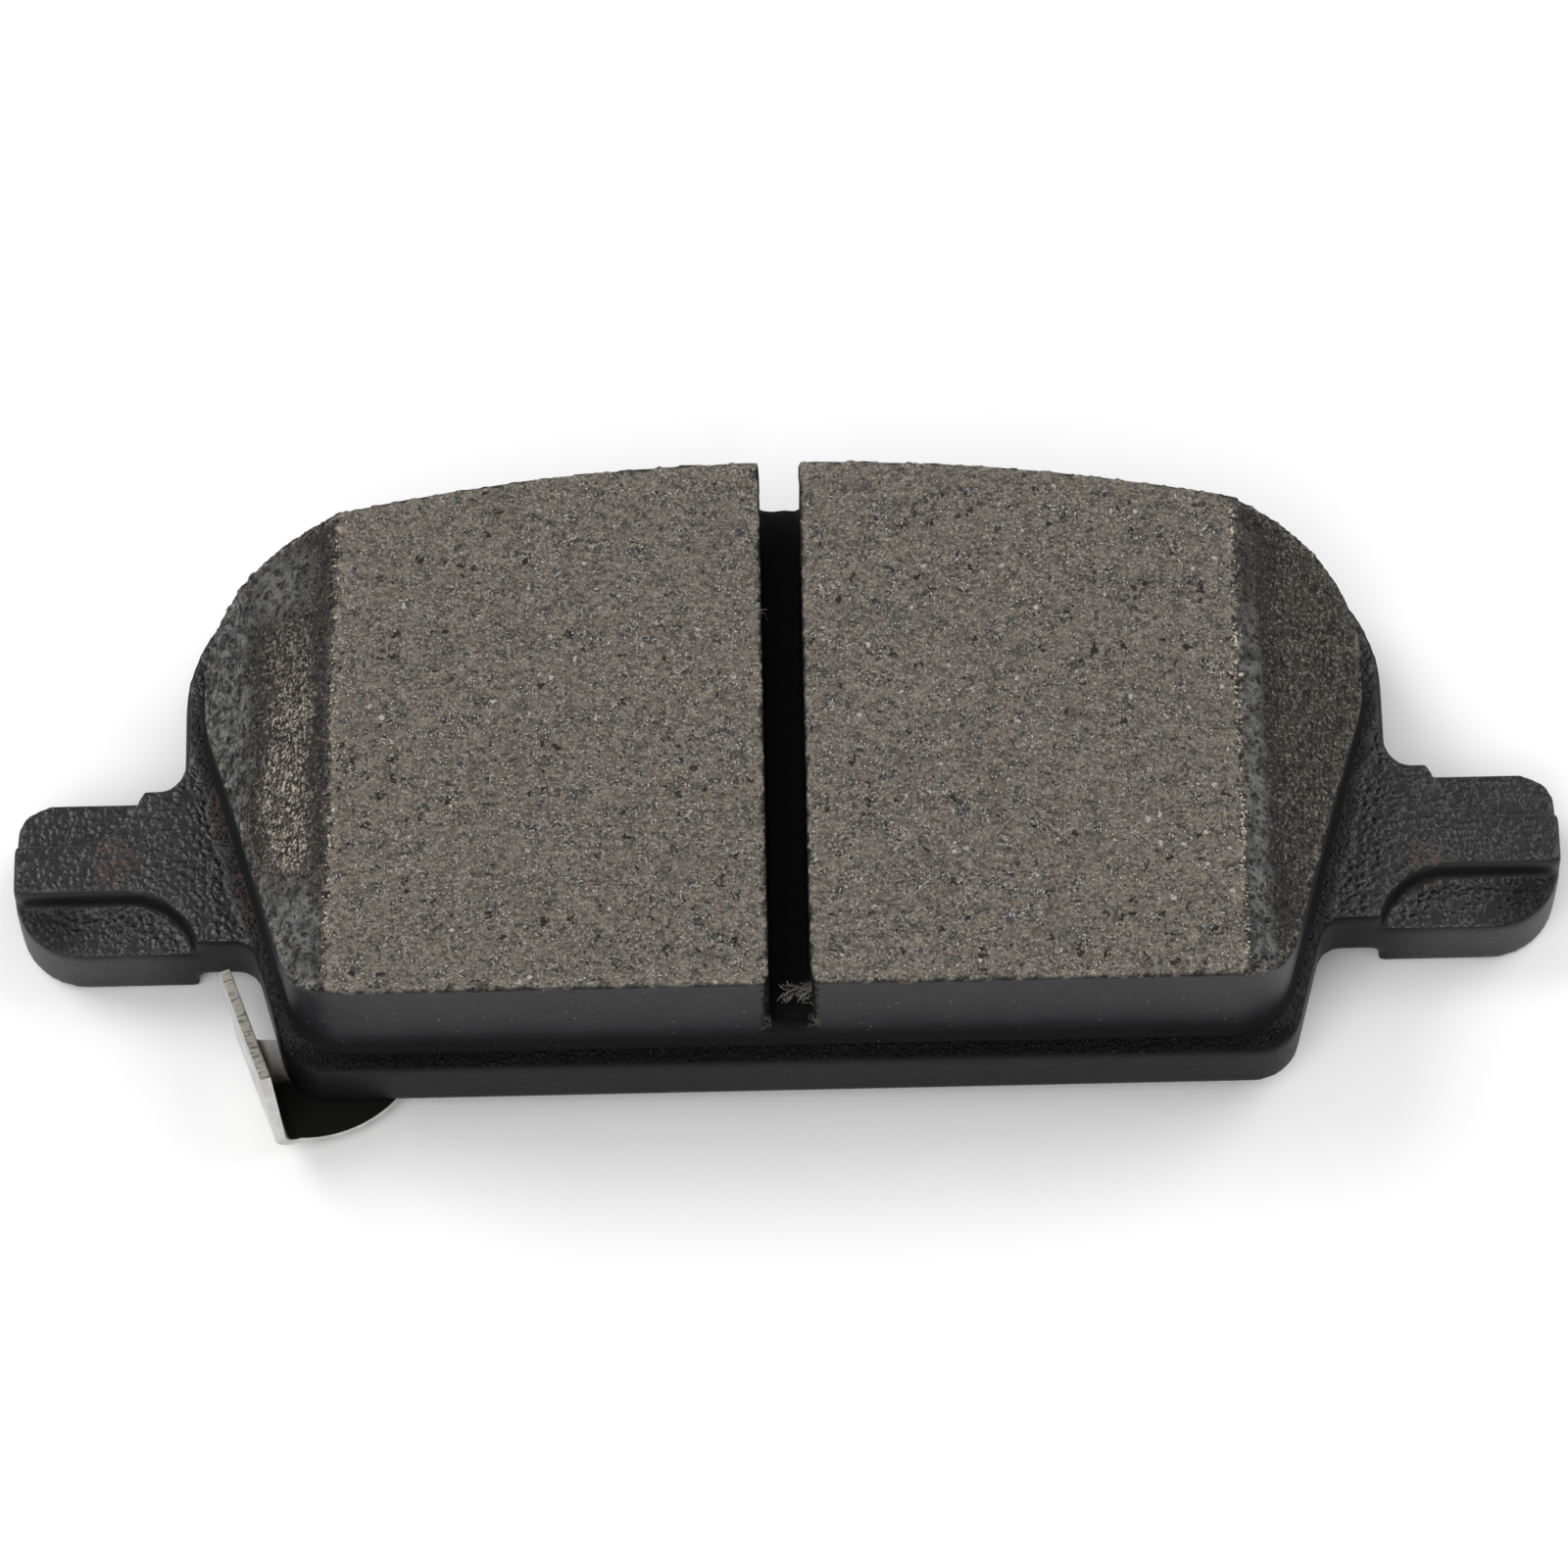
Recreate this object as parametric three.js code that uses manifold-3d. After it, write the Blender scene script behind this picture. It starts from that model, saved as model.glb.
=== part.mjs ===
// A disc brake pad: a stamped backing plate with stepped ears, a moulded friction block on an underlayer, a
// laminated noise shim on the back and a riveted wear indicator.
// Millimetres. +X runs along the pad, +Y points outwards from the disc's centre, +Z points at the disc.
// The origin is the middle of the shim's outer face, which the piston pushes.
import * as THREE from "three";
import { mergeVertices } from "three/addons/utils/BufferGeometryUtils.js";
import Module from "manifold-3d";

const wasm = await Module();
wasm.setup();

// ---- Backing plate. Heights are measured up from its bottom edge. ----
const PLATE_HEIGHT = 43.6;
const PLATE_THICKNESS = 5.5;
const BODY_WIDTH = 86; // shoulder to shoulder
const TOP_ARC_RADIUS = 150;
const SHOULDER_RADIUS = 11.5;
const SIDE_LEAN = THREE.MathUtils.degToRad(14.8); // lower sides, away from upright
const SIDE_INSET = 5; // lower side to shoulder, at the height of the ears' lower edge
const FOOT_RADIUS = 3.4;

// ---- Ears ----
const EAR_REACH = 12.1; // beyond the shoulder
const EAR_LOWER_EDGE = 10.1;
const EAR_HEIGHT = 12.1;
const EAR_TOP_CORNER = 2.6;
const EAR_LOW_CORNER = 5;
const EAR_TOP_FILLET = 2;
const NOTCH_FILLET = 1.8;
const EAR_STEP = 2.1; // how far the ear is set back beside its raised band
const BAND_WIDTH = 4;
const BAND_FLARE_RADIUS = 5;

// ---- Friction block ----
const LINING_THICKNESS = 10.1; // adhesive, underlayer and lining together
const ADHESIVE_THICKNESS = 0.1;
const UNDERLAYER_THICKNESS = 1.6;
const LINING_TOP_MARGIN = 1.1;
const LINING_SIDE_MARGIN = 1.65;
const LINING_FOOT_MARGIN = 1.6;
const LINING_LOWER_MARGIN = 1.35; // to the plate's leaning side, at the block's foot
const LINING_UPRIGHT = 3.3; // from the hip, where the side turns upright, to the shoulder
const LINING_TOP_CORNER = 9.6;
const LINING_FOOT_CORNER = 4.5;
const LINING_HIP_RADIUS = 8;
const SLOT_WIDTH = 2.9;
const SLOT_FLOOR = 0.9; // lining left under the slot
const CHAMFER_LENGTH = 9.65;
const CHAMFER_TOE = 1.6; // height of the chamfer's outer end above the underlayer
const KEY_HOLE_RADIUS = 5;
const KEY_HOLE_SPREAD = 44;
const KEY_HOLE_HEIGHT = 24;
const KEY_CLEARANCE = 0.05;

// ---- Noise shim ----
const SHIM_MARGIN = 2;
const SHIM_CORE = 0.5;
const SHIM_COAT = 0.1;
const SHIM_GLUE = 0.1;
const SHIM_CORNER = 4;
const SHIM_CLIP_GAP = 1.2;

// ---- Wear indicator. Its own frame: u runs inwards from the leg's outer face, s runs up along the leg. ----
const SHEET = 0.8;
const BEND_INSIDE_RADIUS = 1;
const CLIP_LEAN = THREE.MathUtils.degToRad(19.5); // leg, away from upright
const CLIP_GAP = 1.5; // leg to the plate's leaning side, at the plate's bottom edge
const BLADE_STAND = 2; // blade edge above the plate's front face
const BLADE_DEPTH = 1.9;
const BLADE_START = -1.55;
const BLADE_END = 7.35;
const LEG_END = 5.3;
const LEG_CROOK_RADIUS = 0.8;
const LOBE_RADIUS = 8.7;
const LOBE_CENTRE = new THREE.Vector2(5, 4.6);
const EYE_RADIUS = 5;
const EYE_BEARING = THREE.MathUtils.degToRad(-35); // from the lobe's centre to the eye's

// ---- Rivet ----
const RIVET_RADIUS = 2;
const RIVET_HEAD_RADIUS = 3.4;
const RIVET_HEAD_HEIGHT = 1.1;
const RIVET_FLARE_RADIUS = 3;
const RIVET_FLARE_DEPTH = 1.3;
const RIVET_CLEARANCE = 0.1;
const RIVET_DOME = [
  [0, 1],
  [0.45, 1],
  [0.8, 0.75],
  [1, 0.2],
  [1, 0],
  [0, 0],
]; // shares of the head's radius and of its height

// ---- Levels and places worked out from the sizes above ----
const SHIM_THICKNESS = SHIM_GLUE + SHIM_COAT + SHIM_CORE + SHIM_COAT;
const PLATE_BACK = SHIM_THICKNESS;
const PLATE_FRONT = PLATE_BACK + PLATE_THICKNESS;
const UNDERLAYER_BACK = PLATE_FRONT + ADHESIVE_THICKNESS;
const LINING_BACK = UNDERLAYER_BACK + UNDERLAYER_THICKNESS;
const LINING_FACE = PLATE_FRONT + LINING_THICKNESS;
const HALF_BODY = BODY_WIDTH / 2;
const EAR_TIP = HALF_BODY + EAR_REACH;
const EAR_TOP = EAR_LOWER_EDGE + EAR_HEIGHT;
const BAND_LOW = EAR_LOWER_EDGE + (EAR_HEIGHT - BAND_WIDTH) / 2;
const BAND_HIGH = BAND_LOW + BAND_WIDTH;
const BLADE_TOP = PLATE_FRONT + BLADE_STAND;
const BEND_RADIUS = BEND_INSIDE_RADIUS + SHEET;
const LEG_START = LOBE_CENTRE.y - Math.sqrt(LOBE_RADIUS ** 2 - (LOBE_CENTRE.x - BEND_RADIUS) ** 2);
const TONGUE_START = BEND_RADIUS - SHEET / 4; // laps a little over the bend
const EYE_CENTRE = new THREE.Vector2(Math.cos(EYE_BEARING), Math.sin(EYE_BEARING))
  .multiplyScalar(LOBE_RADIUS - EYE_RADIUS)
  .add(LOBE_CENTRE);
const BEYOND = 10; // how far a cutter runs past what it cuts
const WELD = 1e-4; // points nearer than this are one
const ARC_STEP = THREE.MathUtils.degToRad(7.5);
const ROOF_STEPS = 10; // straight steps in half of a top arc
const ROUND_STEPS = 48; // sides of a full circle
const QUARTER = Math.PI / 2;

/** Half-width of the plate at a height on its leaning lower side. */
const plateSideAt = (height) =>
  HALF_BODY - SIDE_INSET - (EAR_LOWER_EDGE - height) * Math.tan(SIDE_LEAN);

/** A place in the wear indicator's own frame, as a place in the pad's plan. */
function clipToPad(point) {
  const footX = -(plateSideAt(0) + CLIP_GAP + SHEET / Math.cos(CLIP_LEAN));
  return point
    .clone()
    .rotateAround(new THREE.Vector2(), CLIP_LEAN)
    .add(new THREE.Vector2(footX, -PLATE_HEIGHT / 2));
}

const RIVET_PLACE = clipToPad(EYE_CENTRE);

// ---- Outline helpers ----

/** Points along an arc, both ends included. */
function arc(x, y, radius, from, to) {
  const steps = Math.max(2, Math.ceil(Math.abs(to - from) / ARC_STEP));
  return Array.from({ length: steps + 1 }, (_, i) => {
    const angle = from + ((to - from) * i) / steps;
    return new THREE.Vector2(x + radius * Math.cos(angle), y + radius * Math.sin(angle));
  });
}

/** An open run of corners [x, y, radius], each rounded by its radius. */
function rounded(corners) {
  const points = corners.map(([x, y]) => new THREE.Vector2(x, y));
  return corners.flatMap(([, , radius], i) => {
    if (!radius) return [points[i]];
    const back = points[i - 1].clone().sub(points[i]).normalize();
    const ahead = points[i + 1].clone().sub(points[i]).normalize();
    const half = Math.acos(back.dot(ahead)) / 2;
    const middle = back.clone().add(ahead).normalize();
    const centre = points[i].clone().addScaledVector(middle, radius / Math.sin(half));
    const entry = points[i].clone().addScaledVector(back, radius / Math.tan(half)).sub(centre).angle();
    const exit = points[i].clone().addScaledVector(ahead, radius / Math.tan(half)).sub(centre).angle();
    const turn = THREE.MathUtils.euclideanModulo(exit - entry + Math.PI, 2 * Math.PI) - Math.PI;
    return arc(centre.x, centre.y, radius, entry, entry + turn);
  });
}

/** A right-hand outline, from the middle of the bottom to the middle of the top, and its mirror image. */
function mirrored(right) {
  const left = right.slice(1, -1).map((p) => new THREE.Vector2(-p.x, p.y));
  return [...right, ...left.reverse()];
}

/** The centre of the arc that rounds a right-hand shoulder between an upright side and a top arc. */
function shoulderCentre(halfWidth, top, arcRadius, corner) {
  const x = halfWidth - corner;
  return new THREE.Vector2(x, top - arcRadius + Math.sqrt((arcRadius - corner) ** 2 - x ** 2));
}

/** The rounded shoulder and the right half of the top arc, from the upright side to the middle. */
function crown(halfWidth, top, arcRadius, corner) {
  const arcCentre = top - arcRadius;
  const { x, y } = shoulderCentre(halfWidth, top, arcRadius, corner);
  const meet = Math.atan2(y - arcCentre, x);
  const roof = Array.from({ length: ROOF_STEPS }, (_, i) => {
    const angle = meet + ((QUARTER - meet) * (i + 1)) / ROOF_STEPS;
    return new THREE.Vector2(arcRadius * Math.cos(angle), arcCentre + arcRadius * Math.sin(angle));
  });
  return [...arc(x, y, corner, 0, meet), ...roof];
}

// ---- Solid helpers ----

/** A closed three.js geometry as a solid. */
function solid(geometry) {
  const bare = geometry.clone();
  bare.deleteAttribute("normal");
  bare.deleteAttribute("uv");
  const merged = mergeVertices(bare, WELD);
  const vertProperties = merged.getAttribute("position").array;
  const triVerts = new Uint32Array(merged.index.array);
  return new wasm.Manifold(new wasm.Mesh({ numProp: 3, vertProperties, triVerts }));
}

/** A plan outline, its heights counted from the plate's bottom edge, raised from one level to another. */
function prism(outline, low, high) {
  const geometry = new THREE.ExtrudeGeometry(new THREE.Shape(outline), {
    depth: high - low,
    bevelEnabled: false,
  });
  return solid(geometry.translate(0, -PLATE_HEIGHT / 2, low));
}

/** An upright cylinder at a place in the pad's frame. */
function cylinder(place, radius, low, high) {
  const geometry = new THREE.CylinderGeometry(radius, radius, high - low, ROUND_STEPS);
  geometry.rotateX(QUARTER).translate(place.x, place.y, (low + high) / 2);
  return solid(geometry);
}

/** A named mesh from a solid. */
function piece(name, body, color, roughness, metalness) {
  const { vertProperties, triVerts } = body.getMesh();
  const geometry = new THREE.BufferGeometry();
  geometry.setAttribute("position", new THREE.BufferAttribute(vertProperties, 3));
  geometry.setIndex(new THREE.BufferAttribute(triVerts, 1));
  geometry.computeVertexNormals();
  const material = new THREE.MeshStandardMaterial({ color, roughness, metalness });
  const mesh = new THREE.Mesh(geometry, material);
  mesh.name = name;
  return mesh;
}

// ---- Backing plate ----

/** The plate's whole outline. */
function plateOutline() {
  const lower = rounded([
    [0, 0, 0],
    [plateSideAt(0), 0, FOOT_RADIUS],
    [plateSideAt(EAR_LOWER_EDGE), EAR_LOWER_EDGE, NOTCH_FILLET],
    [EAR_TIP, EAR_LOWER_EDGE, EAR_LOW_CORNER],
    [EAR_TIP, EAR_TOP, EAR_TOP_CORNER],
    [HALF_BODY, EAR_TOP, EAR_TOP_FILLET],
    [HALF_BODY, PLATE_HEIGHT, 0],
  ]).slice(0, -1);
  return mirrored([...lower, ...crown(HALF_BODY, PLATE_HEIGHT, TOP_ARC_RADIUS, SHOULDER_RADIUS)]);
}

/** The two areas of the right ear that are set back: above its raised band and below it. */
function setBackAreas() {
  const outside = EAR_TIP + BEYOND;
  const flare = BAND_FLARE_RADIUS;
  const lowFlareX = HALF_BODY + BAND_WIDTH; // where the lower edge starts to curve down
  const highFlareX = lowFlareX + BAND_WIDTH;
  const above = [
    new THREE.Vector2(outside, BAND_HIGH),
    new THREE.Vector2(outside, BAND_HIGH + BEYOND),
    new THREE.Vector2(highFlareX - flare, BAND_HIGH + BEYOND),
    ...arc(highFlareX, BAND_HIGH + flare, flare, Math.PI, 3 * QUARTER),
  ];
  const below = [
    new THREE.Vector2(outside, BAND_LOW),
    ...arc(lowFlareX, BAND_LOW - flare, flare, QUARTER, Math.PI),
    new THREE.Vector2(lowFlareX - flare, BAND_LOW - BEYOND),
    new THREE.Vector2(outside, BAND_LOW - BEYOND),
  ];
  return [above, below];
}

/** The steel plate: ears half-sheared back beside their bands, two key holes and the rivet's hole. */
function backingPlate() {
  const back = PLATE_BACK - EAR_STEP;
  const areas = setBackAreas().flatMap((area) => [
    area,
    area.map((p) => new THREE.Vector2(-p.x, p.y)).reverse(),
  ]);
  const columns = areas.map((area) => prism(area, back - BEYOND, PLATE_FRONT + BEYOND));
  const setBack = wasm.Manifold.union(columns);
  const full = prism(plateOutline(), back, PLATE_FRONT);
  const wide = EAR_TIP + BEYOND;
  const everything = [
    new THREE.Vector2(-wide, -BEYOND),
    new THREE.Vector2(wide, -BEYOND),
    new THREE.Vector2(wide, PLATE_HEIGHT + BEYOND),
    new THREE.Vector2(-wide, PLATE_HEIGHT + BEYOND),
  ];
  const frontCut = prism(everything, PLATE_FRONT - EAR_STEP, PLATE_FRONT + BEYOND).intersect(setBack);
  const backCut = prism(everything, back - BEYOND, PLATE_BACK).subtract(setBack);
  let plate = full.subtract(frontCut).subtract(backCut);
  for (const place of keyPlaces()) {
    plate = plate.subtract(cylinder(place, KEY_HOLE_RADIUS, PLATE_BACK - BEYOND, PLATE_FRONT + BEYOND));
  }
  return plate.subtract(rivetBody(RIVET_CLEARANCE, BEYOND));
}

/** The places of the two holes that key the moulded block to the plate. */
function keyPlaces() {
  const y = KEY_HOLE_HEIGHT - PLATE_HEIGHT / 2;
  return [-1, 1].map((side) => new THREE.Vector2((side * KEY_HOLE_SPREAD) / 2, y));
}

// ---- Friction block ----

/** The block's outline: leaning lower sides, upright shoulders and an arched top. */
function liningOutline() {
  const halfWidth = HALF_BODY - LINING_SIDE_MARGIN;
  const foot = LINING_FOOT_MARGIN;
  const top = PLATE_HEIGHT - LINING_TOP_MARGIN;
  const arcRadius = TOP_ARC_RADIUS - LINING_TOP_MARGIN;
  const hip = shoulderCentre(halfWidth, top, arcRadius, LINING_TOP_CORNER).y - LINING_UPRIGHT;
  const lower = rounded([
    [0, foot, 0],
    [plateSideAt(foot) - LINING_LOWER_MARGIN, foot, LINING_FOOT_CORNER],
    [halfWidth, hip, LINING_HIP_RADIUS],
    [halfWidth, top, 0],
  ]).slice(0, -1);
  return mirrored([...lower, ...crown(halfWidth, top, arcRadius, LINING_TOP_CORNER)]);
}

/** The film between the plate and the moulded block. */
function bondingAdhesive() {
  let film = prism(liningOutline(), PLATE_FRONT, UNDERLAYER_BACK);
  for (const place of keyPlaces()) {
    film = film.subtract(cylinder(place, KEY_HOLE_RADIUS, PLATE_FRONT - BEYOND, UNDERLAYER_BACK + BEYOND));
  }
  return film;
}

/** The underlayer, with a plug in each key hole that ends flush with the plate's back. */
function liningUnderlayer() {
  const slab = prism(liningOutline(), UNDERLAYER_BACK, LINING_BACK);
  const radius = KEY_HOLE_RADIUS - KEY_CLEARANCE;
  const middle = (UNDERLAYER_BACK + LINING_BACK) / 2;
  return keyPlaces().reduce((body, place) => body.add(cylinder(place, radius, PLATE_BACK, middle)), slab);
}

/** The ground end chamfer on the right, as a cutter. */
function chamferCutter() {
  const outer = HALF_BODY - LINING_SIDE_MARGIN;
  const start = outer - CHAMFER_LENGTH;
  const toe = LINING_BACK + CHAMFER_TOE;
  const slope = (LINING_FACE - toe) / CHAMFER_LENGTH;
  const section = new THREE.Shape([
    new THREE.Vector2(start - BEYOND, LINING_FACE + slope * BEYOND),
    new THREE.Vector2(outer + BEYOND, toe - slope * BEYOND),
    new THREE.Vector2(outer + BEYOND, LINING_FACE + slope * BEYOND),
  ]);
  const length = PLATE_HEIGHT + 2 * BEYOND;
  const geometry = new THREE.ExtrudeGeometry(section, { depth: length, bevelEnabled: false });
  return solid(geometry.rotateX(QUARTER).translate(0, length / 2, 0));
}

/** The friction block with its dust slot and its two chamfered ends. */
function frictionLining() {
  const slotFloor = LINING_BACK + SLOT_FLOOR;
  const slot = [
    new THREE.Vector2(-SLOT_WIDTH / 2, -BEYOND),
    new THREE.Vector2(SLOT_WIDTH / 2, -BEYOND),
    new THREE.Vector2(SLOT_WIDTH / 2, PLATE_HEIGHT + BEYOND),
    new THREE.Vector2(-SLOT_WIDTH / 2, PLATE_HEIGHT + BEYOND),
  ];
  const cutter = chamferCutter();
  return prism(liningOutline(), LINING_BACK, LINING_FACE)
    .subtract(prism(slot, slotFloor, LINING_FACE + BEYOND))
    .subtract(cutter)
    .subtract(cutter.mirror([1, 0, 0]));
}

// ---- Noise shim ----

/** One layer of the shim, cut away at the corner where the wear indicator lies. */
function shimLayer(low, high) {
  const halfWidth = HALF_BODY - SHIM_MARGIN;
  const top = PLATE_HEIGHT - SHIM_MARGIN;
  const side = plateSideAt(EAR_LOWER_EDGE) - SHIM_MARGIN;
  const lower = rounded([
    [0, SHIM_MARGIN, 0],
    [plateSideAt(SHIM_MARGIN) - SHIM_MARGIN, SHIM_MARGIN, SHIM_CORNER],
    [side, EAR_LOWER_EDGE, SHIM_CORNER],
    [halfWidth, EAR_TOP + SHIM_MARGIN, SHIM_CORNER],
    [halfWidth, top, 0],
  ]).slice(0, -1);
  const crownRun = crown(halfWidth, top, TOP_ARC_RADIUS - SHIM_MARGIN, SHOULDER_RADIUS - SHIM_MARGIN);
  const sheet = prism(mirrored([...lower, ...crownRun]), low, high);
  const reach = EYE_RADIUS + SHIM_CLIP_GAP;
  const eyeHeight = RIVET_PLACE.y + PLATE_HEIGHT / 2;
  const outside = RIVET_PLACE.x - EAR_TIP;
  const relief = rounded([
    [outside, eyeHeight + reach, 0],
    [outside, -BEYOND, 0],
    [RIVET_PLACE.x + reach, -BEYOND, 0],
    [RIVET_PLACE.x + reach, eyeHeight + reach, SHIM_CORNER],
    [outside, eyeHeight + reach, 0],
  ]).slice(0, -1);
  return sheet.subtract(prism(relief, low - BEYOND, high + BEYOND));
}

// ---- Wear indicator ----

/** A section drawn in the u and z directions, run along s. */
function alongLeg(section, from, to) {
  const geometry = new THREE.ExtrudeGeometry(new THREE.Shape(section), {
    depth: to - from,
    bevelEnabled: false,
  });
  return solid(geometry.rotateX(QUARTER).translate(0, to, 0));
}

/** The sheet's cross-section: upright leg, bend and tongue. */
function sheetSection(top, reach) {
  return [
    new THREE.Vector2(0, top),
    ...arc(BEND_RADIUS, BEND_RADIUS, BEND_RADIUS, Math.PI, 3 * QUARTER),
    new THREE.Vector2(reach, 0),
    new THREE.Vector2(reach, SHEET),
    ...arc(BEND_RADIUS, BEND_RADIUS, BEND_INSIDE_RADIUS, 3 * QUARTER, Math.PI),
    new THREE.Vector2(SHEET, top),
  ];
}

/** The tongue's outline past the bend: a broad lobe that runs into the eye round the rivet. */
function tongueOutline() {
  const lowAngle = -Math.acos((TONGUE_START - LOBE_CENTRE.x) / LOBE_RADIUS);
  const edge = new THREE.Vector2(Math.cos(CLIP_LEAN), -Math.sin(CLIP_LEAN)); // level in the pad's frame
  const fromCorner = EYE_CENTRE.clone().sub(new THREE.Vector2(0, LEG_END));
  const along = fromCorner.dot(edge) - Math.sqrt(EYE_RADIUS ** 2 - fromCorner.cross(edge) ** 2);
  const meet = edge.clone().multiplyScalar(along).sub(fromCorner);
  return [
    ...arc(LOBE_CENTRE.x, LOBE_CENTRE.y, LOBE_RADIUS, lowAngle, EYE_BEARING),
    ...arc(EYE_CENTRE.x, EYE_CENTRE.y, EYE_RADIUS, EYE_BEARING, meet.angle()).slice(1),
    new THREE.Vector2(TONGUE_START, LEG_END - TONGUE_START * Math.tan(CLIP_LEAN)),
  ];
}

/** The trim of the bend's upper end, level in the pad's frame so that it runs on into the tongue's edge. */
function bendTrim() {
  const drop = BEND_RADIUS * Math.tan(CLIP_LEAN);
  return [
    new THREE.Vector2(0, LEG_END),
    new THREE.Vector2(BEND_RADIUS, LEG_END - drop),
    new THREE.Vector2(BEND_RADIUS, LEG_END + BEYOND),
    new THREE.Vector2(0, LEG_END + BEYOND),
  ];
}

/** The leg seen square on, in s and z: its blade reaches past it towards the ear. */
function legProfile() {
  return rounded([
    [LEG_START, -SHEET, 0],
    [LEG_END, -SHEET, 0],
    [LEG_END, BLADE_TOP - BLADE_DEPTH, LEG_CROOK_RADIUS],
    [BLADE_END, BLADE_TOP - BLADE_DEPTH, 0],
    [BLADE_END, BLADE_TOP, 0],
    [BLADE_START, BLADE_TOP, 0],
    [LEG_START, BEND_RADIUS, 0],
  ]);
}

/** An outline in the wear indicator's own frame, raised from one level to another. */
function clipPrism(outline, low, high) {
  const geometry = new THREE.ExtrudeGeometry(new THREE.Shape(outline), {
    depth: high - low,
    bevelEnabled: false,
  });
  return solid(geometry.translate(0, 0, low));
}

/** The folded steel strip, in the pad's frame. */
function wearIndicator() {
  const reach = EYE_CENTRE.x + EYE_RADIUS + BEYOND;
  const sheet = alongLeg(sheetSection(BLADE_TOP, reach), -BEYOND, BLADE_END + BEYOND);
  const profile = new THREE.ExtrudeGeometry(new THREE.Shape(legProfile()), {
    depth: BEND_RADIUS,
    bevelEnabled: false,
  });
  const standing = new THREE.Matrix4().set(0, 0, 1, 0, 1, 0, 0, 0, 0, 1, 0, 0, 0, 0, 0, 1);
  const leg = sheet
    .intersect(solid(profile.applyMatrix4(standing)))
    .subtract(clipPrism(bendTrim(), -SHEET, BEND_RADIUS));
  const tongue = sheet.intersect(clipPrism(tongueOutline(), -SHEET, BEND_RADIUS));
  const hole = cylinder(EYE_CENTRE, RIVET_RADIUS + RIVET_CLEARANCE, -BEYOND, BEYOND);
  const foot = clipToPad(new THREE.Vector2());
  return leg
    .add(tongue)
    .subtract(hole)
    .rotate([0, 0, THREE.MathUtils.radToDeg(CLIP_LEAN)])
    .translate([foot.x, foot.y, 0]);
}

/** The rivet's shank and countersunk front end, grown all round by a clearance and run out past both ends. */
function rivetBody(clearance, past) {
  const radius = RIVET_RADIUS + clearance;
  const flare = RIVET_FLARE_RADIUS + clearance;
  const shoulder = PLATE_FRONT - RIVET_FLARE_DEPTH;
  const profile = [
    new THREE.Vector2(0, -past),
    new THREE.Vector2(radius, -past),
    new THREE.Vector2(radius, shoulder),
    new THREE.Vector2(flare, PLATE_FRONT),
    ...(past ? [new THREE.Vector2(flare, PLATE_FRONT + past)] : []),
    new THREE.Vector2(0, PLATE_FRONT + past),
  ];
  const geometry = new THREE.LatheGeometry(profile, ROUND_STEPS);
  return solid(geometry.rotateX(QUARTER).translate(RIVET_PLACE.x, RIVET_PLACE.y, 0));
}

/** The rivet: a low domed head behind the tongue, and the shank through the plate. */
function rivet() {
  const dome = RIVET_DOME.map(([r, h]) => new THREE.Vector2(r * RIVET_HEAD_RADIUS, -h * RIVET_HEAD_HEIGHT));
  const geometry = new THREE.LatheGeometry(dome, ROUND_STEPS);
  const head = solid(geometry.rotateX(QUARTER).translate(RIVET_PLACE.x, RIVET_PLACE.y, 0));
  return head.add(rivetBody(0, 0));
}

// ---- The pad ----

const shimLevels = [0, SHIM_COAT, SHIM_COAT + SHIM_CORE, SHIM_COAT + SHIM_CORE + SHIM_COAT, SHIM_THICKNESS];

const pad = new THREE.Group();
pad.add(
  piece("backing_plate", backingPlate(), 0x1c1c1d, 0.45, 0.1),
  piece("bonding_adhesive", bondingAdhesive(), 0x4a3a26, 0.6, 0),
  piece("lining_underlayer", liningUnderlayer(), 0x2c2a28, 0.8, 0),
  piece("friction_lining", frictionLining(), 0x5d564c, 0.85, 0.1),
  piece("shim_outer_rubber", shimLayer(shimLevels[0], shimLevels[1]), 0x161616, 0.7, 0),
  piece("shim_steel_core", shimLayer(shimLevels[1], shimLevels[2]), 0x8d9092, 0.35, 1),
  piece("shim_inner_rubber", shimLayer(shimLevels[2], shimLevels[3]), 0x1b1b1b, 0.7, 0),
  piece("shim_adhesive", shimLayer(shimLevels[3], shimLevels[4]), 0x6b6250, 0.5, 0),
  piece("wear_indicator", wearIndicator(), 0xb9b6ae, 0.35, 1),
  piece("wear_indicator_rivet", rivet(), 0x9b9a96, 0.35, 1),
);

export default pad;
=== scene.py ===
"""The looks of a disc brake pad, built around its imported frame.

Sizes are in millimetres while a piece is being shaped and become metres when it is finished. +X runs along
the pad, +Y points outwards from the disc's centre and +Z points at the disc. Heights in outlines are counted
from the plate's bottom edge.
"""

from __future__ import annotations

import logging
import math
import random
from collections.abc import Callable, Iterable, Sequence
from dataclasses import dataclass, field
from enum import Enum

import bmesh
import bpy
from mathutils import Matrix, Vector, kdtree, noise


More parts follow.
